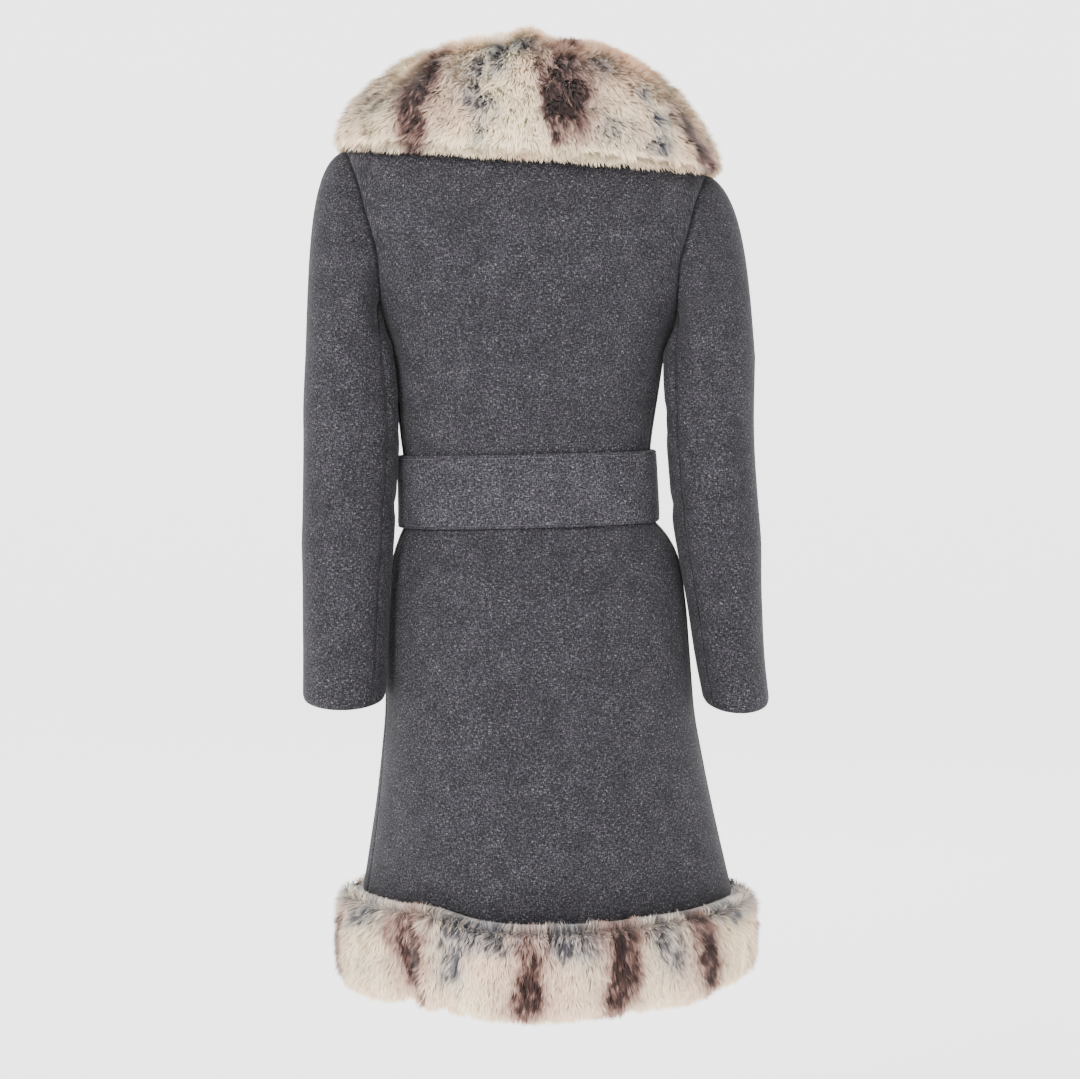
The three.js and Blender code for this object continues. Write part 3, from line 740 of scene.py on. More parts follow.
def band_grid(sections=330, around=48):
    """Rings of points round each section of the hem band, and how much fur each point bears."""
    opening = 180 + past(OVER, HEM)
    turn = opening + 0.4 + 359.2 * np.linspace(0, 1, sections)
    base = body_plain(turn, np.full_like(turn, HEM))
    x, y = oval(turn, 1, 0.75, 0.75, 2)
    away = unit(points(x, y, 0))
    drawn = sum_of(PARTINGS, turn, "in") - sum_of(SWELLS, turn, "out")
    short = sum_of(PARTINGS, turn, "up") - sum_of(SWELLS, turn, "down")
    short = short - sum_of(FLUTES, turn, "lift")
    place = np.arange(around) * len(BAND["out"]) / around
    knots = np.arange(len(BAND["out"]) + 1)
    out, up = (np.interp(place, knots, np.append(BAND[k], BAND[k][0])) for k in ("out", "up"))
    low = np.clip((-up - 10) / 85, 0, 1)
    share = np.where(out > 10, low**0.5, 0)
    reach = out[None] - share[None] * drawn[:, None]
    grid = base[:, None] + away[:, None] * reach[..., None]
    grid[..., 2] += up[None] + short[:, None] * low[None]
    cleft = sum_of(CLEFTS, turn, "in")
    grid -= away[:, None] * (cleft[:, None] * share)[..., None]
    # Thin fur inside, and none where the band is sewn to the cloth.
    bears = np.interp(place, knots, [0.4, 0.4, 0, 0] + [1] * (len(knots) - 5) + [0.4])
    return grid, np.tile(bears, (sections, 1))


def ripple(p, wavelength, seed):
    """Smooth unevenness from -1 to 1, with about this wavelength in millimetres."""
    draw = np.random.default_rng(seed)
    total = 0
    for _ in range(7):
        way = unit(draw.normal(size=3)) * draw.uniform(0.6, 1.5) * 2 * math.pi / wavelength
        total = total + np.sin(p @ way + draw.uniform(0, 2 * math.pi))
    return total / 3.5


UNDERCOAT = 10.5  # from the fur's outer form in to its undercoat, where the fur is longest
UNEVEN = 1.1  # how much deeper or shallower the undercoat lies from place to place
LUMP, FINE_LUMP = 34, 15  # wavelengths of that unevenness
UPRIGHT, COMBED = 0.85, 0.62  # how far the hairs stand up, and how far they lie along the form
END_SHORT = 8  # how far the undercoat stops short of the collar's open end
END_TURN = 1.5  # how far the hairs there turn over the end

# The natural markings of the fur as soft spots, with painted shade among the hem's grey ones: middle,
# half width, half height, slant and strength. The collar's, seen from behind, are in millimetres
# sideways and upwards.
COLLAR_BROWN = (
    (-97, 22, 13, 28, 0.42, 1.0),
    (-114, -14, 16, 30, 0.2, 1.1),
    (-110, -50, 12, 28, 0, 1.0),
    (-76, 0, 22, 44, 0.2, 0.28),
    (20, 14, 3.2, 26, -0.12, 0.7),
    (30, -32, 3.6, 30, -0.3, 0.7),
    (44, 12, 20, 36, 0, 0.92),
    (44, -14, 14, 16, 0, 0.75),
    (62, -8, 24, 42, 0.1, 0.55),
    (50, -50, 24, 16, 0, 0.35),
    (50, 54, 14, 5, 0, 0.6),
    (173, -28, 8, 24, -0.6, 0.95),
    (195, -66, 11, 28, -0.4, 0.95),
)
COLLAR_ASH = (
    (-40, 26, 24, 14, 0.2, 1.0),
    (-53, -4, 10, 13, 0, 1.0),
    (-38, -16, 14, 14, -0.6, 0.9),
    (-43, -46, 8, 20, 0, 0.7),
    (-27, 44, 10, 9, 0, 1.0),
    (4, 48, 17, 9, 0, 1.1),
    (-150, 0, 34, 26, 0.4, 0.45),
    (84, 30, 13, 13, 0, 0.9),
    (128, 2, 12, 12, 0, 0.9),
    (145, -25, 11, 11, 0, 1.0),
    (143, -54, 15, 14, 0, 1.0),
    (96, -38, 22, 17, 0, 0.7),
)
# The same for the front of the collar and for the hem, sideways in degrees round the body.
COLLAR_FRONT_BROWN = (
    (112, -20, 7, 60, 0.04, 0.9),
    (146, -60, 6, 70, 0.04, 0.9),
    (-108, -30, 7, 60, -0.04, 0.8),
    (-140, -50, 6, 70, -0.04, 1.0),
    (-166, -70, 4, 50, -0.03, 0.6),
)
COLLAR_FRONT_ASH = (
    (128, 0, 7, 22, 0, 0.7),
    (164, -40, 6, 26, 0, 0.6),
    (-124, -40, 7, 24, 0, 0.7),
    (-154, -10, 6, 30, 0, 0.7),
)
HEM_BROWN = (
    (-79, -905, 6.5, 44, 0, 0.95),
    (-42, -858, 8, 24, 0, 0.6),
    (-39, -904, 3.6, 40, 0, 1.0),
    (-42, -890, 9, 40, 0, 0.5),
    (-5, -870, 5, 30, 0, 0.4),
    (-4.5, -910, 2.8, 36, 0.03, 1.0),
    (-5.5, -926, 8, 34, 0, 0.55),
    (20, -850, 7, 18, 0.03, 0.5),
    (19.5, -904, 4.6, 50, 0.03, 0.9),
    (19.5, -900, 8, 50, 0.03, 0.4),
    (48, -886, 3.4, 50, -0.06, 1.0),
    (47, -886, 8, 48, -0.06, 0.45),
    (83, -890, 6, 44, 0.03, 0.9),
    (116, -896, 5.6, 42, 0.04, 1.0),
    (149, -900, 6, 44, -0.03, 0.8),
    (-178, -896, 5, 40, 0.03, 0.9),
    (-147, -896, 6, 44, 0.03, 1.0),
    (-113, -900, 5.6, 42, -0.04, 0.9),
)
# The hem's grey spots also hold painted shade: those just under the cloth's edge are partly the fur's
# grey and partly painted shade under the edge.
HEM_ASH_AND_SHADE = (
    (-20, -856, 10, 22, 0, 1.1),
    # Painted shadow in the parting between two of the fur's lobes.
    (-26.5, -884, 4.2, 34, 0, 1.2),
    (-6, -850, 12, 22, 0, 1.1),
    (9, -856, 10, 30, 0, 1.2),
    (33, -860, 7, 34, 0, 1.0),
    (38, -886, 6, 34, 0, 0.5),
    (60, -848, 6, 18, 0, 1.0),
    (-54, -852, 11, 14, 0, 0.7),
    (-67, -858, 8, 16, 0, 0.9),
    (-60, -906, 6, 14, 0, 0.4),
    (98, -852, 10, 20, 0, 1.0),
    (132, -854, 11, 22, 0, 1.0),
    (166, -852, 9, 20, 0, 0.9),
    (-162, -854, 10, 22, 0, 1.0),
    (-130, -852, 11, 20, 0, 1.0),
    (-96, -854, 9, 20, 0, 1.0),
)
# Grey all along the cloth's edge: partly the fur's own grey, partly painted shade under the edge.
EDGE_ASH_AND_SHADE = 0.7  # how ashen the hem's fur is all along the cloth's edge


def spots(side, z, table, around=False):
    """How strong the soft spots of a table are at places given sideways and upwards."""
    total = 0
    for middle, height, wide, tall, slant, strength in table:
        off = apart(side, middle) if around else side - middle
        off = (off - slant * (z - height)) / wide
        total = total + strength * np.exp(-np.abs(off) ** 1.9 - np.abs((z - height) / tall) ** 3)
    return np.clip(total, 0, 1)


def around_middle(p, middle, half, deep):
    """The turn of points round an upright axis."""
    return np.degrees(np.arctan2((p[..., 0] - middle) / half, -p[..., 1] / deep))


def collar_marks(p):
    """How brown and how ashen the collar's fur is."""
    x, y, z = np.moveaxis(p, -1, 0)
    turn = around_middle(p, 5, 1, 0.8)
    behind = ease(-y, -20, 10)
    tables = (COLLAR_BROWN, COLLAR_FRONT_BROWN), (COLLAR_ASH, COLLAR_FRONT_ASH)
    return [
        spots(x, z, back) * behind + spots(turn, z, front, True) * (1 - behind)
        for back, front in tables
    ]


def hem_marks(p):
    """How brown and how grey the hem's fur is, the grey also holding painted shade under the cloth's
    edge and in a parting.
    """
    turn = around_middle(p, 27.5, 235, 182)
    z = p[..., 2]
    ash_and_shade = np.maximum(spots(turn, z, HEM_ASH_AND_SHADE, True), EDGE_ASH_AND_SHADE * ease(z, -868, -852))
    return spots(turn, z, HEM_BROWN, True), ash_and_shade


def away_and_down(p):
    """Which way the collar's fur is combed: away from the neck and down."""
    out = unit((p - (5, 0, 0)) * (1, 1.3, 0))
    return unit(out * 0.7 + (0, 0, -0.8))


def straight_down(p):
    return np.broadcast_to((0, 0, -1.0), p.shape)


def outward(grid, along):
    """Evened normals of a form given as rings of points, with the way from ring to ring."""
    normal = unit(np.cross(along, np.roll(grid, -1, 1) - np.roll(grid, 1, 1)))
    if np.sum(normal * (grid - grid.mean(1, keepdims=True))) < 0:
        normal = -normal
    for _ in range(3):
        normal = unit(normal + np.roll(normal, 1, 1) + np.roll(normal, -1, 1))
    return normal


def fur_forms(name, grid, bears, seed, material, marks, flow, parts=1, rounded=0):
    """The undercoat of a fur piece, and open skins over it from which its hairs grow. The last
    rows, as many as "rounded" says, draw in, and their hairs turn over the end."""
    grid = hang(grid)
    rows, around = grid.shape[:2]
    along = np.gradient(grid, axis=0)
    normal = outward(grid, along)
    uneven = ripple(grid, LUMP, seed) + 0.6 * ripple(grid, FINE_LUMP, seed + 1)
    depth = bears * (UNDERCOAT - UNEVEN * uneven)
    under = (grid - normal * depth[..., None]).reshape(-1, 3)
    drawn = flow(grid)
    drawn = drawn - normal * np.sum(drawn * normal, -1, keepdims=True)
    comb = unit(normal * UPRIGHT + drawn * COMBED)
    turned = np.clip((np.arange(rows) - rows + 1 + rounded) / max(rounded, 1), 0, 1)[:, None, None]
    ahead = unit(along)
    comb = unit(comb + ahead * END_TURN * turned)
    under -= (ahead * turned**2 * END_SHORT).reshape(-1, 3)
    index = np.arange(rows * around).reshape(rows, around)
    faces = ring_faces(index)
    last = fan(index[-1])[:, ::-1]
    every = np.concatenate([faces, fan(index[0]), last])
    if enclosed(under, every) < 0:
        faces, every, last = (some[:, ::-1] for some in (faces, every, last))
    brown, ash_and_shade = marks(grid)

    def form(label, kept):
        made = new_mesh(label, under * MM, kept)
        store(made, "brown", brown)
        store(made, "ash_and_shade", ash_and_shade)
        store(made, "root", under * MM, "FLOAT_VECTOR")
        store(made, "shine", unit(normal + ahead * turned), "FLOAT_VECTOR")
        return made

    undercoat = form(name + "_undercoat", every)
    undercoat.data.materials.append(material)
    skins = []
    part = np.arange(len(faces)) // around * parts // (rows - 1)
    bare = bears.ravel()[faces].min(1) <= 0
    for k in range(parts):
        kept = faces[(part == k) & ~bare]
        if rounded:
            kept = np.concatenate([kept, last])
        skin = form(f"{name}_skin_{k + 1}", kept)
        store(skin, "comb", comb, "FLOAT_VECTOR")
        store(skin, "bears", bears)
        skins.append(skin)
    return undercoat, skins


def fan(ring):
    """Quads across a closed ring of vertex numbers, from one end of it to the other."""
    half = len(ring) // 2
    up, down = ring[:half], ring[: -half - 1 : -1]
    return np.stack([up[:-1], down[:-1], down[1:], up[1:]], -1)


# Node trees


class Signal:
    """A socket. Arithmetic on it adds Math nodes."""

    def __init__(self, tree, socket):
        self.tree, self.socket = tree, socket

    def math(self, operation, *values):
        inputs = dict(enumerate(values))
        return self.tree.node("ShaderNodeMath", {"operation": operation}, inputs)

    def __add__(self, other):
        return self.math("ADD", self, other)

    def __sub__(self, other):
        return self.math("SUBTRACT", self, other)

    def __mul__(self, other):
        return self.math("MULTIPLY", self, other)

    def __truediv__(self, other):
        return self.math("DIVIDE", self, other)

    def __rsub__(self, other):
        return self.math("SUBTRACT", other, self)

    __radd__, __rmul__ = __add__, __mul__

    def clamp(self):
        """Held between 0 and 1."""
        return self.math("MINIMUM", self.math("MAXIMUM", self, 0), 1)

    def above(self, low, gain):
        """0 up to "low", then rising to 1 by this gain."""
        return ((self - low) * gain).clamp()

    def hill(self, width):
        """1 where this is 0, falling to 0 as it grows to a few times the width."""
        return self.math("EXPONENT", self.math("POWER", self / width, 2) * -1)


class Tree:
    """Adds nodes to a shader or geometry node tree."""

    def __init__(self, tree):
        self.tree = tree

    def node(self, kind, settings=None, inputs=None, output=0):
        made = self.tree.nodes.new(kind)
        for name, value in (settings or {}).items():
            setattr(made, name, value)
        for name, value in (inputs or {}).items():
            if isinstance(value, Signal):
                self.tree.links.new(value.socket, made.inputs[name])
            else:
                made.inputs[name].default_value = value
        return Signal(self, made.outputs[output]) if made.outputs else made

    def noise(self, place, scale, detail=2, roughness=0.5, output="Fac"):
        inputs = {"Vector": place, "Scale": scale, "Detail": detail, "Roughness": roughness}
        return self.node("ShaderNodeTexNoise", {}, inputs, output)

    def ramp(self, value, *stops):
        made = self.node("ShaderNodeValToRGB", {}, {0: value})
        elements = made.socket.node.color_ramp.elements
        while len(elements) < len(stops):
            elements.new(1)
        for element, (place, colour) in zip(elements, stops):
            element.position = place
            element.color = (*colour, 1)
        return made

    def blend(self, share, first, second, mode="MIX"):
        # A mix takes its two colours on sockets 6 and 7 and gives a colour on socket 2.
        first, second = (v if isinstance(v, Signal) else (*v, 1) for v in (first, second))
        settings = {"data_type": "RGBA", "blend_type": mode}
        return self.node("ShaderNodeMix", settings, {0: share, 6: first, 7: second}, 2)

    def shaded(self, colour, shade):
        """A colour times a grey."""
        parts = dict.fromkeys(("Red", "Green", "Blue"), shade)
        grey = self.node("ShaderNodeCombineColor", {}, parts)
        return self.blend(1.0, colour, grey, "MULTIPLY")

    def named(self, name, output="Fac"):
        """What a piece keeps for each vertex under a name."""
        return self.node("ShaderNodeAttribute", {"attribute_name": name}, {}, output)

    def place(self, kind="Object"):
        """Coordinates of the shaded point: the part's own ones, or those of the flat cloth."""
        return self.node("ShaderNodeTexCoord", output=kind)


def srgb(red, green, blue):
    """A colour as seen on a screen, from 0 to 255, as the linear values that shaders take."""
    seen = [v / 255 for v in (red, green, blue)]
    return tuple(v / 12.92 if v < 0.04045 else ((v + 0.055) / 1.055) ** 2.4 for v in seen)


def new_material(name):
    material = bpy.data.materials.new(name)
    material.use_nodes = True
    material.node_tree.nodes.clear()
    return material, Tree(material.node_tree)


def finish_material(tree, fixed, **varying):
    """Adds the surface shader: "fixed" values are set on its sockets and the others are linked."""
    inputs = {name.replace("_", " "): value for name, value in varying.items()}
    shader = tree.node("ShaderNodeBsdfPrincipled", {}, {**fixed, **inputs})
    tree.node("ShaderNodeOutputMaterial", {}, {"Surface": shader})


def bumped(tree, height, distance, strength):
    inputs = {"Height": height, "Distance": distance, "Strength": strength}
    return tree.node("ShaderNodeBump", {}, inputs)


def wool_material(name, bright):
    """Melange wool: dark and pale threads both ways, a soft nap, painted shade along sewn edges and
    darts, and painted shadow just above the hem's fur.
    """
    material, tree = new_material(name)
    place, flat = tree.place(), tree.place("UV")
    warp = threads(tree, flat, (840, 300, 1))
    weft = threads(tree, flat, (260, 780, 1))
    fleck = tree.noise(place, 720, 3, 0.65)
    cloud = tree.noise(place, 42, 4, 0.6)
    seam = tree.named("seam")
    tone = warp * 0.3 + weft * 0.3 + fleck * 0.4 + (cloud - 0.5) * 0.08
    colour = tree.ramp(
        tone,
        (0.40, srgb(11, 10, 13)),
        (0.46, srgb(27, 26, 30)),
        (0.525, srgb(46, 44, 49)),
        (0.585, srgb(80, 78, 83)),
        (0.645, srgb(132, 130, 134)),
    )
    x, y, z = split(tree, place)
    # Painted shadow of the hem's fur band on the cloth: the wool is darkened by up to 38 % just above
    # the fur.
    fur_band_shadow = (z * -28.6 - 23.3).clamp()  # 1 at the hem's fur and 0 from 35 mm above it
    # Painted shade along the seams, the belt's stitch lines and the darts, where the cloth dips in.
    shade = (1 - seam.hill(1.5) * 0.55) * (1 - dart_shade_lines(x, y, z) * 0.55) * bright
    shade = shade * (1 - fur_band_shadow * 0.38)
    colour = tree.shaded(colour, shade)
    normal = bumped(tree, tone, 0.0011, 0.6)
    fixed = {"Roughness": 0.94, "Sheen Weight": 0.05, "Sheen Roughness": 0.4, "Specular IOR Level": 0.2}
    finish_material(tree, fixed, Base_Color=colour, Normal=normal)
    return material


def split(tree, place):
    """The x, y and z of a place."""
    parts = tree.node("ShaderNodeSeparateXYZ", {}, {0: place}).socket.node.outputs
    return [Signal(tree, part) for part in parts]


def threads(tree, flat, scale):
    """Short threads lying one way, from the cloth's flat coordinates."""
    return tree.noise(vector_math(tree, "MULTIPLY", flat, scale), 1.0, 2, 0.6)


# Shoulder darts, drawn only as painted shade lines on the wool.
DARTS = ((-0.068, -0.078, 0.02), (0.085, -0.088, -0.02))  # x, lower end and slant, in metres
DART_WIDTH = 0.0009


def dart_shade_lines(x, y, z):
    """1 on the short shoulder darts that come out from under the collar behind, where the wool is
    painted with shade along their sewn lines.
    """
    behind = (y * -60 - 2).clamp()
    total = 0
    for middle, end, slant in DARTS:
        line = (x - middle - (z - end) * slant).hill(DART_WIDTH)
        total = line * z.above(end, 300) * behind + total
    return total


def thread_material():
    material, tree = new_material("belt_thread")
    twist = tree.noise(tree.place(), 900, 1)
    colour = tree.ramp(twist, (0.3, srgb(62, 61, 66)), (0.7, srgb(98, 97, 102)))
    finish_material(tree, {"Roughness": 0.7}, Base_Color=colour)
    return material


CREAM = srgb(251, 233, 199)
BLUSH = srgb(246, 209, 180)
TAN = srgb(186, 152, 138)
BROWN = srgb(112, 82, 74)
DARK_BROWN = srgb(50, 34, 31)
ASH_AND_SHADE_GREY = srgb(150, 151, 156)
DARK_ASH_AND_SHADE = srgb(66, 68, 74)


def fur_material(name, hair):
    """Fur with natural brown bars and grey mottles, the hem's grey also standing for painted shade.
    Hairs are darker towards their roots, for the roots' own grey and as painted shade deep in the fur,
    and the undercoat is about as dark as the roots.
    """
    material, tree = new_material(name)
    root = tree.named("root", "Vector")
    brown, ash_and_shade = tree.named("brown"), tree.named("ash_and_shade")
    streaked = vector_math(tree, "MULTIPLY", root, (1, 1, 0.45))
    patch = tree.noise(streaked, 70, 3, 0.6) - 0.5
    tuft = tree.noise(streaked, 230, 2, 0.6) - 0.5
    brown = (brown * (0.98 + patch * 1.3 + tuft * 1.7)).clamp()
    ash_and_shade = (ash_and_shade * (0.95 + patch * 2.2 + tuft * 2.8)).clamp() * 0.92
    blush = tree.noise(root, 13, 2).above(0.42, 4) * 0.8
    colour = tree.blend(blush, CREAM, BLUSH)
    # Grey from the marks, which at the hem include painted shade.
    colour = tree.blend(ash_and_shade, colour, ASH_AND_SHADE_GREY)
    colour = tree.blend((ash_and_shade + tuft * 1.4).above(0.75, 3.5), colour, DARK_ASH_AND_SHADE)
    colour = tree.blend((brown * 1.7).clamp(), colour, TAN)
    colour = tree.blend(brown.above(0.36, 2), colour, BROWN)
    darkest = (brown + tuft * 0.9 + patch * 0.6).above(0.72, 2.8)
    colour = tree.blend(darkest, colour, DARK_BROWN)
    # The undercoat and the hairs' roots are darkened for the roots' own grey and as painted shade deep
    # in the fur.
    shade = 0.36
    if hair:
        shade = (0.34 + tree.named("along")).clamp() * (0.86 + tree.named("tone") * 0.28)
    colour = tree.shaded(colour, shade)
    facing = tree.node("ShaderNodeNewGeometry", output="Normal")
    shine = scaled(tree, tree.named("shine", "Vector"), 0.4)
    shine = vector_math(tree, "NORMALIZE", vector_math(tree, "ADD", shine, facing))
    fixed = {"Roughness": 0.7, "Sheen Weight": 0.25, "Sheen Roughness": 0.5, "Specular IOR Level": 0.15}
    finish_material(tree, fixed, Base_Color=colour, Normal=shine)
    return material


# Geometry node trees


def geometry_tree(name, inputs):
    """A new geometry tree with a mesh coming in and going out, and these named inputs."""
    tree = bpy.data.node_groups.new(name, "GeometryNodeTree")
    tree.interface.new_socket("Geometry", in_out="INPUT", socket_type="NodeSocketGeometry")
    for label, kind in inputs.items():
        tree.interface.new_socket(label, in_out="INPUT", socket_type="NodeSocket" + kind)
    tree.interface.new_socket("Geometry", in_out="OUTPUT", socket_type="NodeSocketGeometry")
    build = Tree(tree)
    group = tree.nodes.new("NodeGroupInput")
    given = {socket.name: Signal(build, socket) for socket in group.outputs if socket.name}
    return tree, build, given


def run_tree(base, tree, values, name):
    """Runs a geometry tree on an object and returns its result as a plain mesh object."""
    modifier = base.modifiers.new(tree.name, "NODES")
    modifier.node_group = tree
    for socket in tree.interface.items_tree:
        if socket.in_out == "INPUT" and socket.name in values:
            modifier[socket.identifier] = values[socket.name]
    bpy.context.view_layer.update()
    seen = base.evaluated_get(bpy.context.evaluated_depsgraph_get())
    mesh = bpy.data.meshes.new_from_object(seen)
    base.modifiers.remove(modifier)
    return linked(name, mesh)


def attribute(build, name, kind="FLOAT"):
    kinds = {"data_type": kind}
    return build.node("GeometryNodeInputNamedAttribute", kinds, {"Name": name}, "Attribute")


def vector_math(build, operation, *values):
    return build.node("ShaderNodeVectorMath", {"operation": operation}, dict(enumerate(values)))


def scaled(build, vector, amount):
    return build.node("ShaderNodeVectorMath", {"operation": "SCALE"}, {0: vector, "Scale": amount})


ALIGN = "FunctionNodeAlignRotationToVector"


def random_number(build, low, high, seed):
    """A random number for each point."""
    inputs = {"Min": low, "Max": high, "Seed": seed}
    return build.node("FunctionNodeRandomValue", {"data_type": "FLOAT"}, inputs, "Value")


def lay_copies(build, given, piece, points, **how):
    """Ends a tree: a copy of the given piece on each point, made real, in the given material."""
    copy = build.node("GeometryNodeObjectInfo", {}, {"Object": given[piece]}, "Geometry")
    inputs = {"Points": points, "Instance": copy, **how}
    laid = build.node("GeometryNodeInstanceOnPoints", {}, inputs)
    real = build.node("GeometryNodeRealizeInstances", {}, {"Geometry": laid})
    inputs = {"Geometry": real, "Material": given["Material"]}
    done = build.node("GeometryNodeSetMaterial", {}, inputs)
    build.node("NodeGroupOutput", {}, {0: done})


def strand_tree():
    """Hairs that stand on a skin, lean the way it is combed and gather in tufts."""
    inputs = {
        "Hair": "Object", "Density": "Float", "Length": "Float", "Tuft Size": "Float",
        "Tuft Pull": "Float", "Stray": "Float", "Seed": "Int", "Material": "Material",
    }
    tree, build, given = geometry_tree("fur_strands", inputs)
    bears = attribute(build, "bears")
    grown = build.node(
        "GeometryNodeDistributePointsOnFaces",
        {"distribute_method": "RANDOM"},
        {"Mesh": given["Geometry"], "Density": bears * given["Density"], "Seed": given["Seed"]},
        "Points",
    )
    place = build.node("GeometryNodeInputPosition")
    half = (0.5, 0.5, 0.5)

    def pulled(scale, amount):
        noise = build.noise(place, scale, 1.0, output="Color")
        return scaled(build, vector_math(build, "SUBTRACT", noise, half), amount)

    tuft = pulled(given["Tuft Size"], given["Tuft Pull"])
    stray = pulled(given["Tuft Size"] * 4.3, given["Stray"])
    gathered = vector_math(build, "ADD", tuft, stray)
    way = vector_math(build, "ADD", attribute(build, "comb", "FLOAT_VECTOR"), gathered)
    outwards = attribute(build, "shine", "FLOAT_VECTOR")
    shine = vector_math(build, "ADD", outwards, scaled(build, gathered, 0.45))
    lean = build.node(ALIGN, {"axis": "Z"}, {"Vector": way})
    inputs = {"Rotation": lean, "Vector": outwards}
    lean = build.node(ALIGN, {"axis": "Y", "pivot_axis": "Z"}, inputs)
    longer = random_number(build, 0.8, 1.1, given["Seed"])
    tone = random_number(build, 0.0, 1.0, given["Seed"] + 7)
    uneven = build.noise(place, 60, 2)
    full = bears * 0.65 + 0.35
    long = given["Length"] * longer * (0.78 + uneven * 0.44) * full
    size = build.node("ShaderNodeCombineXYZ", {}, {"X": given["Length"], "Y": long, "Z": long})
    for name, kind, value in (("tone", "FLOAT", tone), ("shine", "FLOAT_VECTOR", shine)):
        grown = build.node(
            "GeometryNodeStoreNamedAttribute",
            {"data_type": kind, "domain": "POINT"},
            {"Geometry": grown, "Name": name, "Value": value},
        )
    lay_copies(build, given, "Hair", grown, Rotation=lean, Scale=size)
    return tree


def hair_mesh():
    """One hair, 1 long: a curved blade of three triangles that tapers to its tip."""
    root, middle = 0.036, 0.036 * 0.8
    verts = np.array([
        (-root, 0, 0), (root, 0, 0), (-middle, -0.03, 0.5), (middle, -0.03, 0.5), (0, -0.16, 0.98),
    ])
    made = new_mesh("hair", verts, np.array([(0, 1, 3), (0, 3, 2), (2, 3, 4)]))
    store(made, "along", verts[:, 2])
    return made


def stitch_tree():
    """Stitches laid end to end along a path."""
    inputs = {"Stitch": "Object", "Spacing": "Float", "Material": "Material"}
    tree, build, given = geometry_tree("belt_stitches", inputs)
    curve = build.node("GeometryNodeMeshToCurve", {}, {"Mesh": given["Geometry"]})
    inputs = {"Curve": curve, "Length": given["Spacing"]}
    curve = build.node("GeometryNodeResampleCurve", {"mode": "LENGTH"}, inputs)
    tangent = build.node("GeometryNodeInputTangent")
    turned = build.node(ALIGN, {"axis": "X"}, {"Vector": tangent})
    lay_copies(build, given, "Stitch", curve, Rotation=turned)
    return tree


def stitch_mesh(length=2.7, thick=0.55):
    """One stitch: a short thread that dips into the cloth at both ends."""
    share = np.array([-0.5, -0.36, 0, 0.36, 0.5])
    size = np.array([0.35, 0.9, 1, 0.9, 0.35]) * thick / 2
    rings = []
    for at, r in zip(share, size):
        angle = np.radians(np.arange(6) * 60)
        rings.append(np.stack([np.full(6, at * length), r * np.cos(angle), r * np.sin(angle)], -1))
    verts = np.concatenate(rings) * MM
    index = np.arange(30).reshape(5, 6)
    faces = np.concatenate([ring_faces(index), fan(index[0]), fan(index[-1])[:, ::-1]])
    return new_mesh("stitch", verts, facing_out(verts, faces))


# Putting the coat together

# How the fur grows: hairs for each square metre, their length, the scale of the noise that
# gathers them in tufts, how far it pulls them, and how far single hairs stray.
HAIRS = {
    "Density": 715000.0,
    "Length": 13 * MM,
    "Tuft Size": 64.0,
    "Tuft Pull": 1.7,
    "Stray": 0.95,
}


def declare(piece, slot, *nodes):
    """States the body and the replaced nodes of a piece. Its slot is not used."""
    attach(piece, "root")
    if nodes:
        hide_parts(*nodes)


def grow_fur(name, grid, bears, seed, hair, tree, **growth):
    """A fur piece: its undercoat, and its hairs joined into one mesh or a few."""
    under = fur_material(name + "_undercoat", hair=False)
    undercoat, skins = fur_forms(name, grid, bears, seed, under, **growth)
    declare(undercoat, "fur", name)
    over = fur_material(name, hair=True)
    for k, skin in enumerate(skins):
        values = {**HAIRS, "Hair": hair, "Seed": seed + k, "Material": over}
        label = f"{name}_hairs_{k + 1}" if len(skins) > 1 else name + "_hairs"
        declare(run_tree(skin, tree, values, label), "fur")
        bpy.data.objects.remove(skin)


def build_cloth():
    wool = wool_material("wool_melange", 0.74)
    pieces = {
        "back": back_panel(wool),
        "front_right": right_front(wool),
        "front_left": left_front(wool),
        # The belt is the same wool, painted 31 % lighter as painted light, where it catches more light
        # than the body.
        "belt": belt(wool_material("wool_belt_painted_lighter", 0.97)),
    }
    parts = ("upper", FRONT_SEAM - 360, BACK_SEAM), ("under", BACK_SEAM, FRONT_SEAM)
    for label, side, table in (("right", 1, RIGHT_SLEEVE), ("left", -1, LEFT_SLEEVE)):
        for part, first, last in parts:
            node = f"sleeve_{label}_{part}"
            pieces[node] = sleeve_piece(node + "_cloth", side, table, first, last, wool)
    for node, piece in pieces.items():
        declare(piece, "wool", node)


def build_stitches():
    paths, stitch = belt_stitch_paths(), stitch_mesh()
    values = {"Stitch": stitch, "Spacing": 3.5 * MM, "Material": thread_material()}
    stitches = run_tree(paths, stitch_tree(), values, "belt_stitches")
    for used in (paths, stitch):
        bpy.data.objects.remove(used)
    declare(stitches, "wool")


def build_fur():
    hair, tree = hair_mesh(), strand_tree()
    collar = dict(marks=collar_marks, flow=away_and_down, rounded=9)
    for label, side, seed in (("right", 1, 11), ("left", -1, 23)):
        grow_fur("fur_collar_" + label, *collar_grid(side), seed, hair, tree, **collar)
    hem = dict(marks=hem_marks, flow=straight_down, parts=3)
    grow_fur("fur_hem", *band_grid(), 37, hair, tree, **hem)
    bpy.data.objects.remove(hair)


# Camera, lights and floor

# The photograph's camera: metres, and pixels of its frame.
VIEW = dict(x=0.0193, distance=2.4, height=-0.318, focal_px=2222, frame_px=1080, eye_line_px=400)


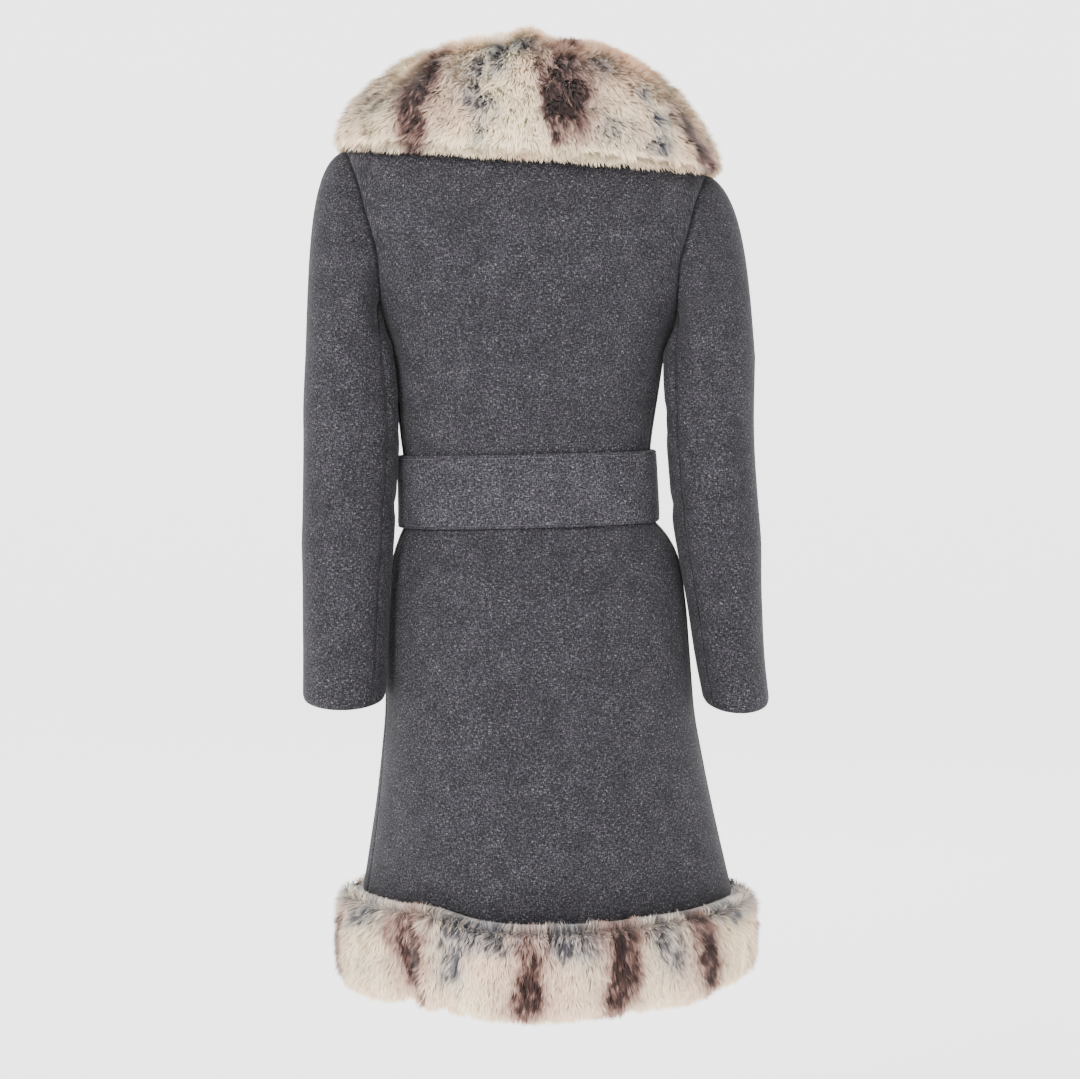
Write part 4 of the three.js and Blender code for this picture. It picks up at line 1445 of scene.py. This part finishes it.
def build_camera():
    data = bpy.data.cameras.new("camera")
    data.sensor_width = 36
    data.lens = data.sensor_width * VIEW["focal_px"] / VIEW["frame_px"]
    data.clip_end = 60
    camera = linked("camera", data)
    drop = math.atan2(VIEW["frame_px"] / 2 - VIEW["eye_line_px"], VIEW["focal_px"])
    camera.location = (VIEW["x"], -VIEW["distance"], VIEW["height"])
    camera.rotation_euler = (math.pi / 2 - drop, 0, 0)
    bpy.context.scene.camera = camera


AIM = (0, 0, -0.45)  # the middle of the coat, which the lights face


def area_light(name, at, size, energy):
    """A round soft light that faces the middle of the coat."""
    data = bpy.data.lights.new(name, "AREA")
    data.shape, data.size, data.energy = "DISK", size, energy
    lamp = linked(name, data)
    lamp.location = at
    lamp.rotation_euler = (Vector(AIM) - Vector(at)).to_track_quat("-Z", "Y").to_euler()


def build_stage():
    """A pale floor that rises far behind into a pale wall all round, as in a photographer's cove."""
    floor, reach, bend, high, steps = -1.38, 7.0, 2.5, 6.5, 96
    rise = np.linspace(0, math.pi / 2, 14)
    out = np.concatenate([[0.02], reach - bend + bend * np.sin(rise), [reach]])
    up = np.concatenate([[0], bend - bend * np.cos(rise), [high]]) + floor
    angle = np.linspace(0, 2 * math.pi, steps, endpoint=False)
    grid = points(out[:, None] * np.cos(angle), out[:, None] * np.sin(angle), up[:, None] + 0 * angle)
    index = np.arange(len(out) * steps).reshape(len(out), steps)
    stage = new_mesh("floor", grid.reshape(-1, 3), ring_faces(index))
    material, tree = new_material("floor_paint")
    glow = {"Emission Color": (1, 1, 1, 1), "Emission Strength": 1.2}
    finish_material(tree, {"Base Color": (0.88, 0.88, 0.88, 1), "Roughness": 0.9, **glow})
    stage.data.materials.append(material)


def build_lights():
    world = bpy.data.worlds.new("studio")
    bpy.context.scene.world = world
    world.use_nodes = True
    backdrop = world.node_tree.nodes["Background"]
    backdrop.inputs["Color"].default_value = (1, 1, 1, 1)
    backdrop.inputs["Strength"].default_value = 0.75
    area_light("key", (-1.9, -2.8, 1.3), 1.1, 165)
    area_light("fill", (2.2, -2.6, 0.2), 2.0, 12)
    area_light("front_fill", (0.8, 3.0, 1.2), 2.4, 60)


build_camera()
build_lights()
build_stage()
build_cloth()
build_stitches()
build_fur()
